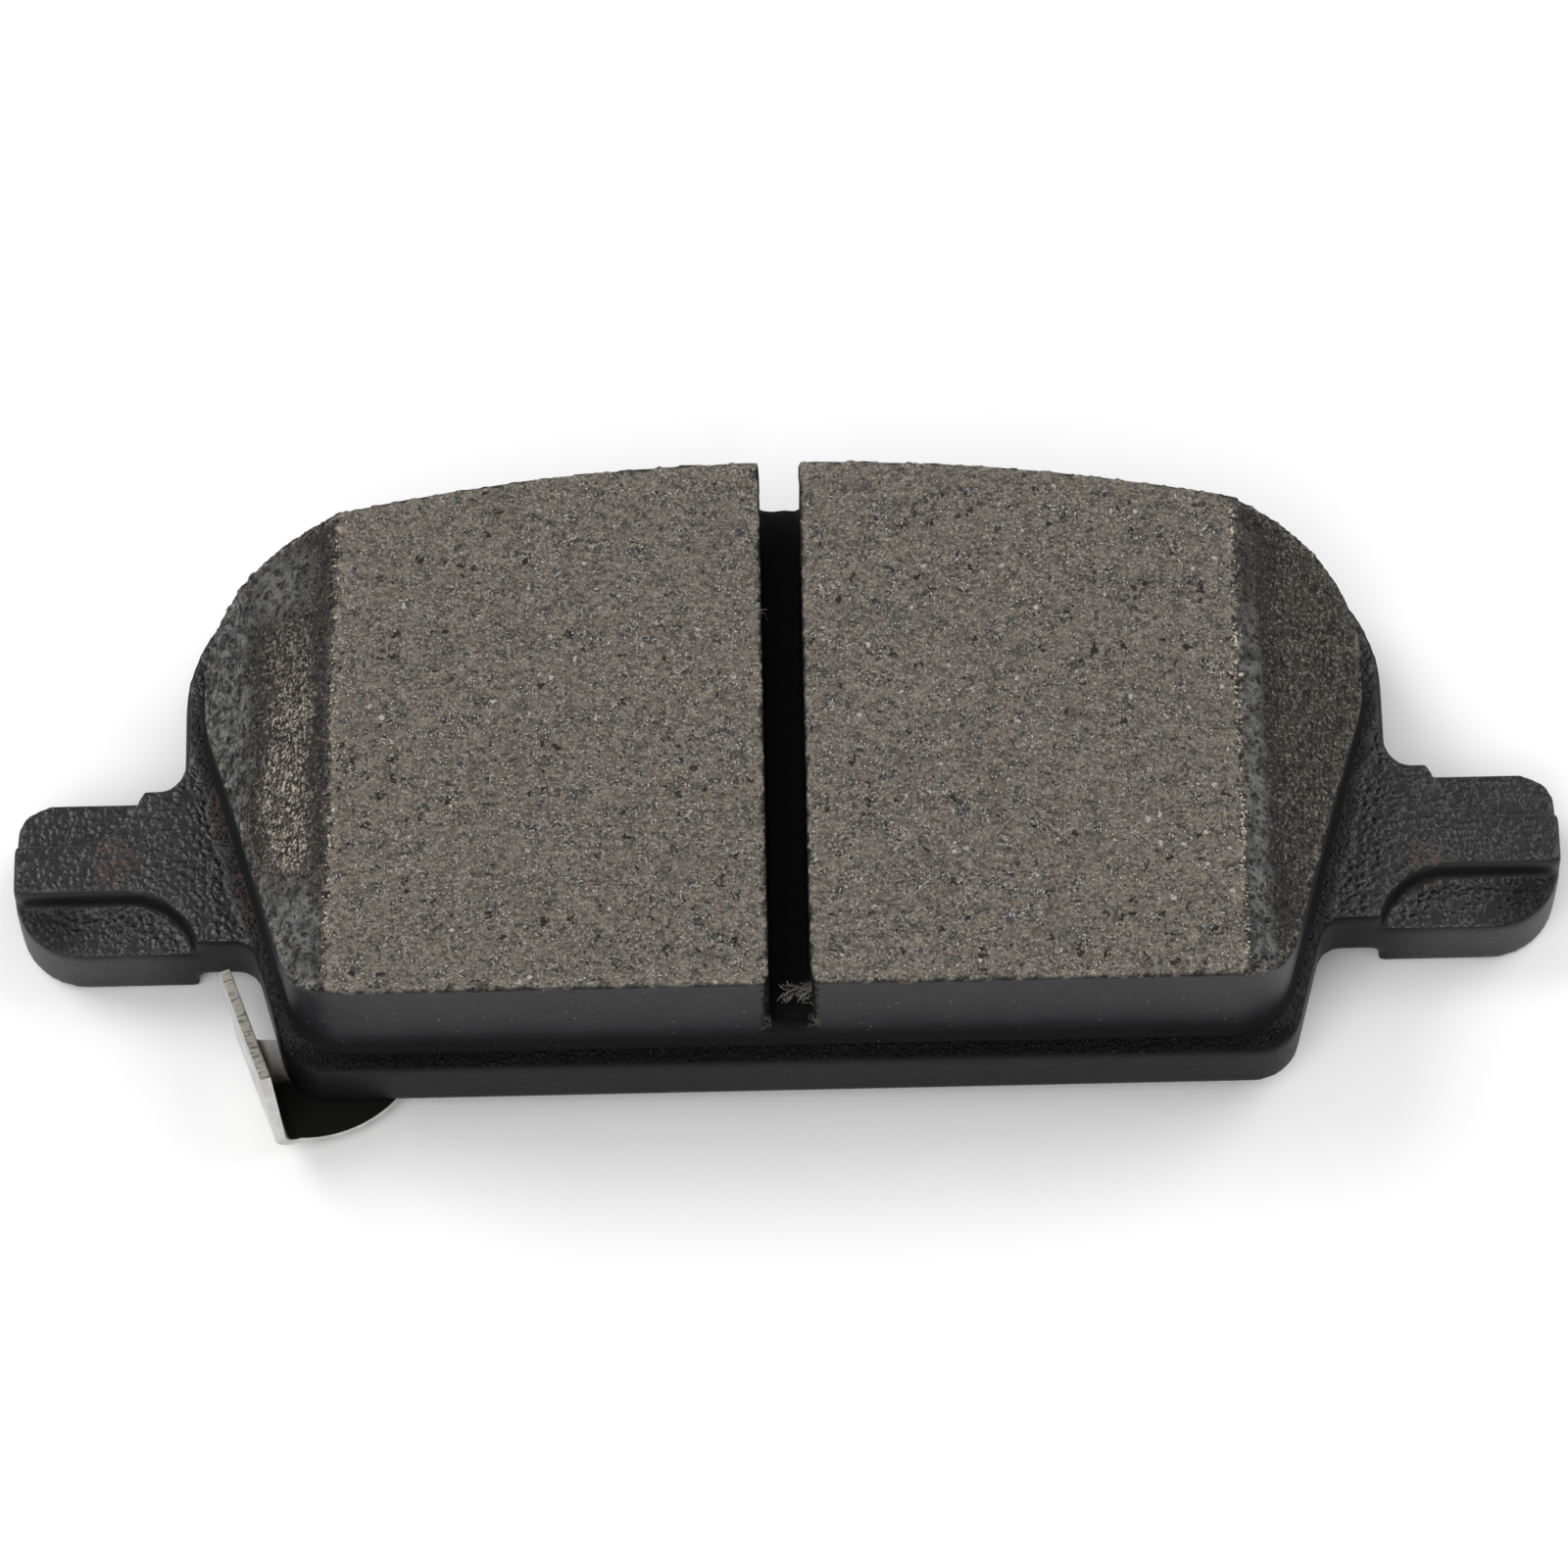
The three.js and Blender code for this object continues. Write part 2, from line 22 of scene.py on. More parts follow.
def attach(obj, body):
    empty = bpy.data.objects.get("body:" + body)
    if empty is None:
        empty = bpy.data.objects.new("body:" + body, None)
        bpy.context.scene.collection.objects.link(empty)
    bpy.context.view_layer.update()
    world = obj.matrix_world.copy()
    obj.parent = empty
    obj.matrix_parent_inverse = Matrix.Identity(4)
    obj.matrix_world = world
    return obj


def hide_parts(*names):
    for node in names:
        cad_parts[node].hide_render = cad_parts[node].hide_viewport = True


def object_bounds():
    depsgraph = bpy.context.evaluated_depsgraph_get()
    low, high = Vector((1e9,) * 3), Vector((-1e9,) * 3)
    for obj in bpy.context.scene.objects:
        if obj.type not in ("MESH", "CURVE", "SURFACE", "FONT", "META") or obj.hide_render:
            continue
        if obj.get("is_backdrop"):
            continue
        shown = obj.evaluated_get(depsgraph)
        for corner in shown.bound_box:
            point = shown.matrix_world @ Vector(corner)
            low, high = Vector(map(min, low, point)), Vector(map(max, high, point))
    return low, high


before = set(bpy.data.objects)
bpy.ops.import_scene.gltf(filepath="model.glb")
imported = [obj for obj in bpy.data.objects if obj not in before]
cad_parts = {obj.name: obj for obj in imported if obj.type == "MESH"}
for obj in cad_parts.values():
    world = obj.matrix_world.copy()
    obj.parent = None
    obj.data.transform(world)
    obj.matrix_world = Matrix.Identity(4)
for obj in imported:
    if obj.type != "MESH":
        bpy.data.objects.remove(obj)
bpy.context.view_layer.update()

MILLIMETRE = 0.001
BODY = "root"
CHAMFER_START = 31.7
"""Where the chamfers start, counted from the middle and evened out over both ends."""
log = logging.getLogger("brake_pad")

Colour = tuple[float, float, float]
Point = tuple[float, float]


# ---------------------------------------------------------------- shader maths


class Value:
    """A number carried by a node's socket, so that shader maths reads as an ordinary expression."""

    def __init__(self, graph: Graph, socket: bpy.types.NodeSocket) -> None:
        """Wraps a socket of a graph."""
        self.graph = graph
        self.socket = socket

    def __add__(self, other: Number) -> Value:
        """This value plus another."""
        return self.graph.maths("ADD", self, other)

    __radd__ = __add__

    def __sub__(self, other: Number) -> Value:
        """This value less another."""
        return self.graph.maths("SUBTRACT", self, other)

    def __rsub__(self, other: Number) -> Value:
        """Another value less this one."""
        return self.graph.maths("SUBTRACT", other, self)

    def __mul__(self, other: Number) -> Value:
        """This value times another."""
        return self.graph.maths("MULTIPLY", self, other)

    __rmul__ = __mul__

    def __truediv__(self, other: Number) -> Value:
        """This value divided by another."""
        return self.graph.maths("DIVIDE", self, other)

    def __abs__(self) -> Value:
        """This value without its sign."""
        return self.graph.maths("ABSOLUTE", self)

    def either(self, other: Number) -> Value:
        """The larger of this value and another."""
        return self.graph.maths("MAXIMUM", self, other)

    def ease(self, low: float, high: float) -> Value:
        """Goes smoothly from 0 at low to 1 at high; low may be the larger one.

        Args:
            low: the value at which the result is 0.
            high: the value at which the result is 1.

        Returns:
            The eased value, held between 0 and 1.
        """
        if low > high:
            return 1.0 - self.ease(high, low)
        return Value(self.graph, self.graph.node(
            "ShaderNodeMapRange", {"interpolation_type": "SMOOTHSTEP"},
            {"Value": self, "From Min": low, "From Max": high}).outputs[0])


Number = Value | float
Link = Value | bpy.types.NodeSocket


class Graph:
    """A material's node graph, with Object coordinates in millimetres."""

    WEAK_SHINE = 1.15
    """The refraction of the duller of a material's two shaders, which sets how much it mirrors."""

    def __init__(self, name: str) -> None:
        """Starts a material with one Principled shader.

        Args:
            name: the material's name.
        """
        self.material = bpy.data.materials.new(name)
        self.material.use_nodes = True
        self.tree = self.material.node_tree
        self.shader = self.tree.nodes["Principled BSDF"]
        place = self.node("ShaderNodeTexCoord").outputs["Object"]
        self.place = self.node(
            "ShaderNodeVectorMath", {"operation": "SCALE"}, {0: place, "Scale": 1 / MILLIMETRE}).outputs[0]
        parts = self.node("ShaderNodeSeparateXYZ", {}, {0: self.place})
        self.x, self.y, self.z = (Value(self, socket) for socket in parts.outputs)

    def node(self, kind: str, settings: dict | None = None, inputs: dict | None = None) -> bpy.types.Node:
        """Adds a node.

        Args:
            kind: the node's type name.
            settings: its properties, which are set first.
            inputs: values or links for its sockets, by name or by number.

        Returns:
            The node.
        """
        node = self.tree.nodes.new(kind)
        for key, setting in (settings or {}).items():
            setattr(node, key, setting)
        for key, given in (inputs or {}).items():
            self._feed(node.inputs[key], given)
        return node

    def _feed(self, socket: bpy.types.NodeSocket, given: Link | float | tuple) -> None:
        """Links a socket, or sets its value.

        Args:
            socket: the socket.
            given: what it gets.
        """
        if isinstance(given, Value):
            given = given.socket
        if isinstance(given, bpy.types.NodeSocket):
            self.tree.links.new(given, socket)
        else:
            socket.default_value = given

    def maths(self, operation: str, *operands: Number) -> Value:
        """The result of a Math node on one or two operands."""
        inputs = dict(enumerate(operands))
        return Value(self, self.node("ShaderNodeMath", {"operation": operation}, inputs).outputs[0])

    def stretched(self, scale: Sequence[float], turn: float = 0.0) -> bpy.types.NodeSocket:
        """Coordinates in millimetres, turned about Z and then scaled along each axis.

        Args:
            scale: the factor along X, Y and Z.
            turn: the angle about Z, in degrees.

        Returns:
            The coordinates' socket.
        """
        turned = self.node(
            "ShaderNodeMapping", {}, {"Vector": self.place, "Rotation": (0, 0, math.radians(turn))})
        return self.node("ShaderNodeMapping", {}, {"Vector": turned.outputs[0], "Scale": scale}).outputs[0]

    def grain(self, scale: float, detail: float = 2.0, rough: float = 0.5, warp: float = 0.0,
              place: bpy.types.NodeSocket | None = None) -> Value:
        """Soft noise between 0 and 1.

        Args:
            scale: blobs per millimetre.
            detail: how many finer octaves are added.
            rough: how strong the finer octaves are.
            warp: how far the pattern is folded over itself.
            place: coordinates to read, or None for plain millimetres.

        Returns:
            The noise.
        """
        inputs = {"Vector": place or self.place, "Scale": scale, "Detail": detail, "Roughness": rough,
                  "Distortion": warp}
        return Value(self, self.node("ShaderNodeTexNoise", {}, inputs).outputs[0])

    def cells(self, scale: float, place: Link | None = None) -> tuple[Value, Value]:
        """Cells around scattered points.

        Args:
            scale: cells per millimetre.
            place: coordinates to read, or None for plain millimetres.

        Returns:
            The distance to the cell's point, and a random number of each cell.
        """
        node = self.node("ShaderNodeTexVoronoi", {}, {"Vector": place or self.place, "Scale": scale})
        split = self.node("ShaderNodeSeparateXYZ", {}, {0: node.outputs["Color"]})
        return Value(self, node.outputs["Distance"]), Value(self, split.outputs[0])

    def spots(self, scale: float, share: Point, rim: Point, place: Link | None = None) -> Value:
        """Separate spots, each in the middle of a cell that is picked at random.

        Args:
            scale: cells per millimetre.
            share: the random numbers at which a cell's spot begins to show and is full.
            rim: the distances at which a spot begins and is full, the larger one first.
            place: coordinates to read, or None for plain millimetres.

        Returns:
            The spots' strength.
        """
        distance, pick = self.cells(scale, place)
        return pick.ease(*share) * distance.ease(*rim)

    def warped(self, amount: float, scale: float) -> bpy.types.NodeSocket:
        """Millimetre coordinates pushed about by noise.

        Args:
            amount: how far they move, in millimetres.
            scale: blobs of the noise per millimetre.

        Returns:
            The coordinates' socket.
        """
        push = self.node("ShaderNodeTexNoise", {}, {"Vector": self.place, "Scale": scale, "Detail": 1.0})
        scaled = self.node(
            "ShaderNodeVectorMath", {"operation": "SCALE"}, {0: push.outputs["Color"], "Scale": amount})
        return self.node(
            "ShaderNodeVectorMath", {"operation": "ADD"}, {0: self.place, 1: scaled.outputs[0]}).outputs[0]

    def mark(self, name: str) -> Value:
        """A number painted on the piece's own points."""
        node = self.node("ShaderNodeAttribute", {"attribute_name": name})
        return Value(self, node.outputs["Fac"])

    def facing(self) -> Value:
        """How far the surface faces along +Z, from -1 to 1."""
        normal = self.node("ShaderNodeNewGeometry").outputs["True Normal"]
        return Value(self, self.node("ShaderNodeSeparateXYZ", {}, {0: normal}).outputs[2])

    def near(self, x: float, y: float, reach_x: float, reach_y: float) -> Value:
        """A soft oval patch, 1 in its middle and 0 past its rim.

        Args:
            x: its middle along X, in millimetres.
            y: its middle along Y.
            reach_x: its half-width.
            reach_y: its half-height.

        Returns:
            The patch's strength.
        """
        across = (self.x - x) / reach_x
        along = (self.y - y) / reach_y
        return (across * across + along * along).ease(1.0, 0.0)

    def blend(self, factor: Number, below: Link | Colour, above: Link | Colour) -> bpy.types.NodeSocket:
        """One colour laid over another.

        Args:
            factor: the strength of the upper colour.
            below: the lower colour.
            above: the upper colour.

        Returns:
            The mixed colour's socket.
        """
        inputs = {0: factor, 6: self._rgba(below), 7: self._rgba(above)}
        return self.node("ShaderNodeMix", {"data_type": "RGBA"}, inputs).outputs[2]

    @staticmethod
    def _rgba(given: Link | float | Colour) -> Link | float | tuple[float, float, float, float]:
        """A colour with its alpha, or anything else as it is."""
        return (*given, 1.0) if isinstance(given, tuple) else given

    def relief(self, height: Value) -> bpy.types.NodeSocket:
        """A normal from a height in millimetres."""
        inputs = {"Strength": 1.0, "Distance": MILLIMETRE, "Height": height}
        return self.node("ShaderNodeBump", {}, inputs).outputs[0]

    def dress(self, **sockets: Link | float | tuple) -> bpy.types.Material:
        """Feeds the Principled shader and returns the material.

        Args:
            sockets: the shader's sockets, with underscores for blanks, and what each one gets.

        Returns:
            The finished material.
        """
        for name, given in sockets.items():
            label = name.replace("_", " ").title().replace("Ior", "IOR")
            self._feed(self.shader.inputs[label], self._rgba(given))
        return self.material

    def dull(self, mask: Value) -> None:
        """Lays a second shader with a weaker shine over the first, where a mask is 1.

        Args:
            mask: where the weaker shine is.
        """
        second = self.node("ShaderNodeBsdfPrincipled", {}, {"IOR": self.WEAK_SHINE})
        for name in ("Base Color", "Roughness", "Normal"):
            for link in self.shader.inputs[name].links:
                self.tree.links.new(link.from_socket, second.inputs[name])
        mixed = self.node("ShaderNodeMixShader", {}, {0: mask, 1: self.shader.outputs[0], 2: second.outputs[0]})
        self.tree.links.new(mixed.outputs[0], self.tree.nodes["Material Output"].inputs["Surface"])


# ---------------------------------------------------------------- finishes


@dataclass(frozen=True)
class PebblePaint:
    """Black powder paint over shot-blasted steel: pebbled on the faces, smooth on the sheared walls."""

    black: Colour = (0.0055, 0.0055, 0.0057)
    wall: Colour = (0.0075, 0.0075, 0.0085)
    rust: Colour = (0.075, 0.028, 0.014)
    dust: Colour = (0.030, 0.030, 0.031)
    grit: Colour = (0.040, 0.039, 0.038)
    fleck: Colour = (0.20, 0.19, 0.18)
    bright_rust: Colour = (0.42, 0.19, 0.09)
    pebble_height: float = 0.175
    grit_height: float = 0.30

    def build(self, plate: Plate) -> bpy.types.Material:
        """Makes the plate's paint.

        Args:
            plate: the plate, whose leaning side the gritty band follows.

        Returns:
            The material.
        """
        graph = Graph("pebble_paint")
        front = graph.facing().ease(0.60, 0.90)
        back = graph.facing().ease(-0.6, -0.9)
        walls = 1.0 - front
        across = abs(graph.x)
        height_now = graph.y + plate.height / 2
        side = across - (height_now * math.tan(plate.side_lean) + plate.side_at(0.0))
        ragged = (graph.grain(0.5, 3.0) - 0.5) * 2.2
        beside = (side + ragged).ease(0.9, -0.5)
        below = (height_now + ragged * 0.5).ease(2.6, 1.4)
        gritty = beside.either(below) * across.ease(43.5, 41.5) * front * graph.y.ease(9.0, 5.0)
        set_back = graph.z.ease(5.2, 4.6)
        smoother = (across.ease(44.5, 54.0) * 0.32).either(set_back * 0.22)
        pebbles = graph.cells(2.0, graph.warped(0.45, 1.6))[0]
        swell = graph.grain(1.5, 2.0, 0.55, 0.3)
        fine = graph.grain(4.5, 2.0, 0.6)
        pebble = pebbles.ease(0.80, 0.0) * 0.62 + swell * 0.55 + fine * 0.10
        lumps = graph.cells(2.6, graph.warped(0.7, 1.8))[0].ease(0.55, 0.1)
        crumbs = lumps + graph.grain(3.6, 3.0, 0.7) * 1.2
        wall_marks = graph.grain(1.0, 3.0, 0.6, 0.0, graph.stretched((3.0, 3.0, 0.5)))
        faces = (pebble * (1.0 - smoother) * self.pebble_height * (1.0 - gritty)
                 + crumbs * self.grit_height * gritty)
        relief = (faces * front.either(back * 0.35)
                  + (wall_marks * 0.02 + swell * 0.03 + fine * 0.006) * walls)
        dusty = graph.grain(0.16, 4.0, 0.6).ease(0.5, 0.8) * 0.25
        flecks = graph.spots(1.7, (0.80, 0.86), (0.085, 0.04))
        colour = graph.blend(front, self.wall, self.black)
        colour = graph.blend(dusty + gritty * 0.03, colour, self.dust)
        colour = graph.blend(gritty * crumbs.ease(1.05, 1.55) * 0.8, colour, self.grit)
        colour = graph.blend(flecks * 0.8, colour, self.fleck)
        speck = graph.grain(2.4, 3.0, 0.7).ease(0.47, 0.60)
        stains = (graph.near(-47.8, -5.2, 2.3, 2.6) * 0.8).either(
            graph.near(-40.2, -1.2, 1.1, 3.8).either(graph.near(-38.5, -7.4, 1.1, 4.0))).either(
            graph.near(45.4, -7.0, 1.7, 1.9) * 0.7)
        colour = graph.blend(stains * speck * front * 0.9, colour, self.rust)
        nick = graph.near(54.2, -3.4, 0.45, 0.3).ease(0.2, 0.6)
        colour = graph.blend(nick, colour, self.bright_rust)
        rough = (0.27 + graph.grain(0.8, 4.0, 0.6) * 0.14 + gritty * 0.12 + stains * speck * 0.3
                 + walls * 0.10)
        paint = graph.dress(base_color=colour, roughness=rough, normal=graph.relief(relief))
        duller = walls * (0.92 - across.ease(41.0, 47.0) * 0.67)
        shaded = set_back * across.ease(48.5, 52.5) * graph.y.ease(-7.0, -8.0) * 0.65
        under = below * 0.75 * across.ease(43.5, 41.5)
        graph.dull(duller.either(front * shaded.either(under)))
        return paint


class LiningMark(Enum):
    """What is painted on the lining's points: which part of the surface each one is on."""

    FACE = "ground_face"
    CHAMFER = "ground_chamfer"
    SLOT = "slot_wall"
    RIM = "rim"


@dataclass(frozen=True)
class FrictionCompound:
    """Moulded friction material: brown-grey resin with graphite, metal flecks and pits where it is ground."""

    resin: Colour = (0.086, 0.0755, 0.0615)
    tan: Colour = (0.182, 0.161, 0.132)
    graphite: Colour = (0.052, 0.054, 0.055)
    # Dark grains, streaks and broken crumbs, and the painted shade in the pits and pores.
    soot_and_pit_shade: Colour = (0.010, 0.010, 0.010)
    silver: Colour = (0.72, 0.73, 0.74)
    ochre: Colour = (0.19, 0.110, 0.068)
    skin: Colour = (0.0135, 0.0135, 0.0155)
    smear: Colour = (0.150, 0.149, 0.146)
    thin_smear: Colour = (0.050, 0.050, 0.051)
    worn_skin: Colour = (0.026, 0.026, 0.029)
    skin_speck: Colour = (0.34, 0.325, 0.30)
    # The painted shade at the foot of the walls, where they meet the plate.
    foot: Colour = (0.004, 0.004, 0.0045)
    # The painted shade in the slot and at its mouth.
    slot_painted_shade: Colour = (0.003, 0.003, 0.003)
    ground_dark: Colour = (0.011, 0.0105, 0.010)
    bared: Colour = (0.70, 0.595, 0.49)
    pale_grain: Colour = (0.34, 0.31, 0.27)
    rim_crumb: Colour = (0.42, 0.375, 0.31)
    salt: Colour = (0.42, 0.385, 0.33)
    chunk: Colour = (0.50, 0.48, 0.45)
    chamfer_start: float = CHAMFER_START
    chamfer_length: float = 9.65
    ior: float = 1.27

    def build(self) -> bpy.types.Material:
        """Makes the lining's material.

        Returns:
            The material, which reads the marks on the piece's own points.
        """
        graph = Graph("friction_compound")
        face = graph.mark(LiningMark.FACE.value)
        chamfer = graph.mark(LiningMark.CHAMFER.value)
        slot = graph.mark(LiningMark.SLOT.value)
        rim = graph.mark(LiningMark.RIM.value)
        aggregate, flecks, pits = self._aggregate(graph)
        exposed, smeared, streaks, pores = self._chamfer_masks(graph)
        specks = graph.spots(1.6, (0.70, 0.76), (0.13, 0.07))
        skin = graph.blend(graph.grain(0.25, 4.0, 0.6).ease(0.3, 0.8) * 0.5, self.skin, self.worn_skin)
        skin = graph.blend(specks * 0.8, skin, self.skin_speck)
        # Painted shade: the walls darken to near-black towards their foot, where they meet the plate.
        foot = graph.z.ease(9.2, 7.0)
        skin = graph.blend(foot * 0.75, skin, self.foot)
        # Painted shade: the slot's walls and the torn mouth where the slot leaves the lower wall are made
        # near-black.
        torn = abs(graph.x) + (graph.grain(2.2, 3.0, 0.7) - 0.5) * 1.6
        slot_mouth_shade = torn.ease(2.0, 1.7) * graph.y.ease(-19.4, -20.0) * graph.z.ease(7.5, 8.0)
        skin = graph.blend(slot.either(slot_mouth_shade), skin, self.slot_painted_shade)
        dark = graph.blend(0.86, aggregate, self.ground_dark)
        crumbs = graph.grain(4.0, 4.0, 0.8)
        bared = graph.blend(crumbs.ease(0.51, 0.56) * 0.95, aggregate, self.bared)
        bared = graph.blend(crumbs.ease(0.49, 0.42) * 0.92, bared, self.soot_and_pit_shade)
        ground_end = graph.blend(exposed * 0.92, dark, bared)
        ground_end = graph.blend(crumbs.ease(0.565, 0.62) * 0.55, ground_end, self.pale_grain)
        clouds = graph.grain(0.9, 4.0, 0.7)
        smear_tone = graph.blend(clouds.ease(0.36, 0.60), self.thin_smear, self.smear)
        ground_end = graph.blend(smeared * 0.92, ground_end, smear_tone)
        ground_end = graph.blend(streaks * (0.78 - exposed * 0.55), ground_end, self.soot_and_pit_shade)
        # The pores are darkened as well as sunk by the relief: painted shade in the hollows.
        ground_end = graph.blend(pores * 0.85, ground_end, self.soot_and_pit_shade)
        colour = graph.blend(face, skin, aggregate)
        colour = graph.blend(chamfer, colour, ground_end)
        crumbly = rim * graph.grain(2.8, 3.0, 0.7).ease(0.46, 0.62)
        broken = rim * graph.grain(1.9, 3.0, 0.7).ease(0.47, 0.36)
        colour = graph.blend(crumbly * 0.66, colour, self.rim_crumb)
        colour = graph.blend(broken * 0.75, colour, self.soot_and_pit_shade)
        fine = graph.grain(5.0, 3.0, 0.65)
        lumps = graph.grain(1.9, 3.0, 0.6, 0.3)
        ground = face.either(chamfer * (1.0 - smeared * 0.6))
        height = (ground * (fine * 0.20 + lumps * 0.22 - pits * 0.26 + flecks * 0.05) - chamfer * pores * 0.16
                  + (1.0 - ground) * (graph.grain(1.3, 3.0, 0.55) * 0.035 + fine * 0.012))
        shine = flecks * face.either(chamfer * exposed) * 0.75
        matt = slot.either(slot_mouth_shade).either(foot)
        rough = 0.40 + ground * 0.30 - shine * 0.42 + matt * 0.4 - smeared * chamfer * 0.10
        return graph.dress(
            base_color=colour, roughness=rough, metallic=shine, ior=self.ior, normal=graph.relief(height))

    def _aggregate(self, graph: Graph) -> tuple[Link, Value, Value]:
        """The ground compound.

        Args:
            graph: the material's graph.

        Returns:
            Its colour, where metal flecks show, and where it is pitted.
        """
        flow = graph.stretched((0.75, 1.1, 1.0), 8.0)
        salt = graph.grain(5.2, 3.0, 0.75)
        middle = graph.grain(2.3, 3.0, 0.65, 0.6, flow)
        broad = graph.grain(0.35, 4.0, 0.6, 0.5, flow)
        busy = graph.grain(0.80, 3.0, 0.6, 0.8, flow).ease(0.43, 0.57)
        colour = graph.blend(middle.ease(0.36, 0.62), self.resin, self.tan)
        flakes = graph.spots(1.75, (0.66, 0.70), (0.56, 0.40), graph.warped(0.9, 1.9))
        clusters = flakes.either(graph.spots(3.2, (0.72, 0.76), (0.52, 0.34), graph.warped(0.5, 2.8)))
        colour = graph.blend(clusters * (busy * 0.62 + 0.34), colour, self.graphite)
        pepper = salt.ease(0.45, 0.36).either(graph.grain(3.4, 4.0, 0.75).ease(0.42, 0.35))
        colour = graph.blend(pepper * (busy * 0.52 + 0.44), colour, self.soot_and_pit_shade)
        colour = graph.blend(salt.ease(0.55, 0.64) * 0.58, colour, self.salt)
        colour = graph.blend(broad.ease(0.44, 0.30) * 0.30, colour, self.graphite)
        chunks = graph.spots(1.25, (0.90, 0.93), (0.26, 0.15), graph.warped(0.6, 2.6))
        colour = graph.blend(chunks * 0.75, colour, self.chunk)
        rusty = graph.spots(1.9, (0.90, 0.93), (0.42, 0.22), graph.warped(0.4, 3.0))
        colour = graph.blend(rusty * 0.45, colour, self.ochre)
        flecks = self._flecks(graph) * (busy * 0.72 + 0.28)
        colour = graph.blend(flecks, colour, self.silver)
        hollows = graph.spots(1.05, (0.78, 0.82), (0.30, 0.17), graph.warped(1.4, 2.2))
        pits = hollows.either(graph.grain(1.9, 3.0, 0.65).ease(0.35, 0.28) * busy)
        # The pits are darkened as well as sunk by the relief: dark grains together with painted shade in the
        # hollows.
        colour = graph.blend(pits * 0.88, colour, self.soot_and_pit_shade)
        return colour, flecks, pits

    def _flecks(self, graph: Graph) -> Value:
        """Short bright metal fibres that lie in several directions, and small chips.

        Args:
            graph: the material's graph.

        Returns:
            Where they show.
        """
        mask = graph.spots(4.6, (0.75, 0.81), (0.34, 0.18))
        for turn, scale in ((12.0, 2.1), (58.0, 2.4), (-37.0, 2.2), (96.0, 2.6)):
            lying = graph.stretched((0.42, 1.9, 1.0), turn)
            mask = mask.either(graph.spots(scale, (0.80, 0.84), (0.18, 0.09), lying))
        return mask

    def _chamfer_masks(self, graph: Graph) -> tuple[Value, Value, Value, Value]:
        """How the two ground ends differ.

        Args:
            graph: the material's graph.

        Returns:
            Where brown compound is bared, where grey skin is left, the streaks along Y, and the dark pores.
        """
        run = (abs(graph.x) - self.chamfer_start) / self.chamfer_length
        ragged = run + (graph.grain(0.35, 4.0, 0.65) - 0.5) * 0.4
        left = graph.x.ease(1.0, -1.0)
        streaks = graph.grain(1.0, 5.0, 0.8, 0.0, graph.stretched((4.6, 0.8, 1.0)))
        high = graph.y + (graph.grain(0.25, 3.0) - 0.5) * 9.0
        bared_left = (ragged.ease(0.13, 0.24) * ragged.ease(0.60, 0.42)
                      * high.ease(-11.5, -8.0) * high.ease(13.0, 1.0))
        bared_right = ragged.ease(0.28, 0.40) * high.ease(-17.0, -9.0) * 0.22
        broken = graph.grain(2.4, 4.0, 0.75).ease(0.40, 0.56)
        bared = left * bared_left + (1.0 - left) * bared_right
        exposed = bared * streaks.ease(0.40, 0.50) * (broken * 0.85 + 0.15)
        low_smear = high.ease(-8.0, -13.0) * ragged.ease(0.05, 0.16) * 0.92
        high_smear = graph.near(-35.6, 13.0, 3.4, 3.6) * 0.85
        outer_left = (ragged.ease(0.58, 0.72) * streaks.ease(0.36, 0.48)).either(low_smear).either(high_smear)
        near_start = run + (graph.grain(1.1, 4.0, 0.7) - 0.5) * 0.12
        strip_right = (near_start.ease(0.03, 0.07) * near_start.ease(0.25, 0.17)
                       * (high.ease(13.0, 2.0) * 0.80 + 0.20))
        patchy = graph.grain(1.3, 5.0, 0.7).ease(0.36, 0.50)
        smeared = (left * outer_left + (1.0 - left) * strip_right) * patchy
        holes = graph.spots(1.8, (0.60, 0.66), (0.42, 0.22), graph.warped(0.6, 2.4))
        pores = holes.either(graph.grain(2.2, 3.0, 0.7).ease(0.40, 0.33))
        return exposed, smeared, streaks.ease(0.49, 0.38) * (1.0 - smeared * 0.75), pores


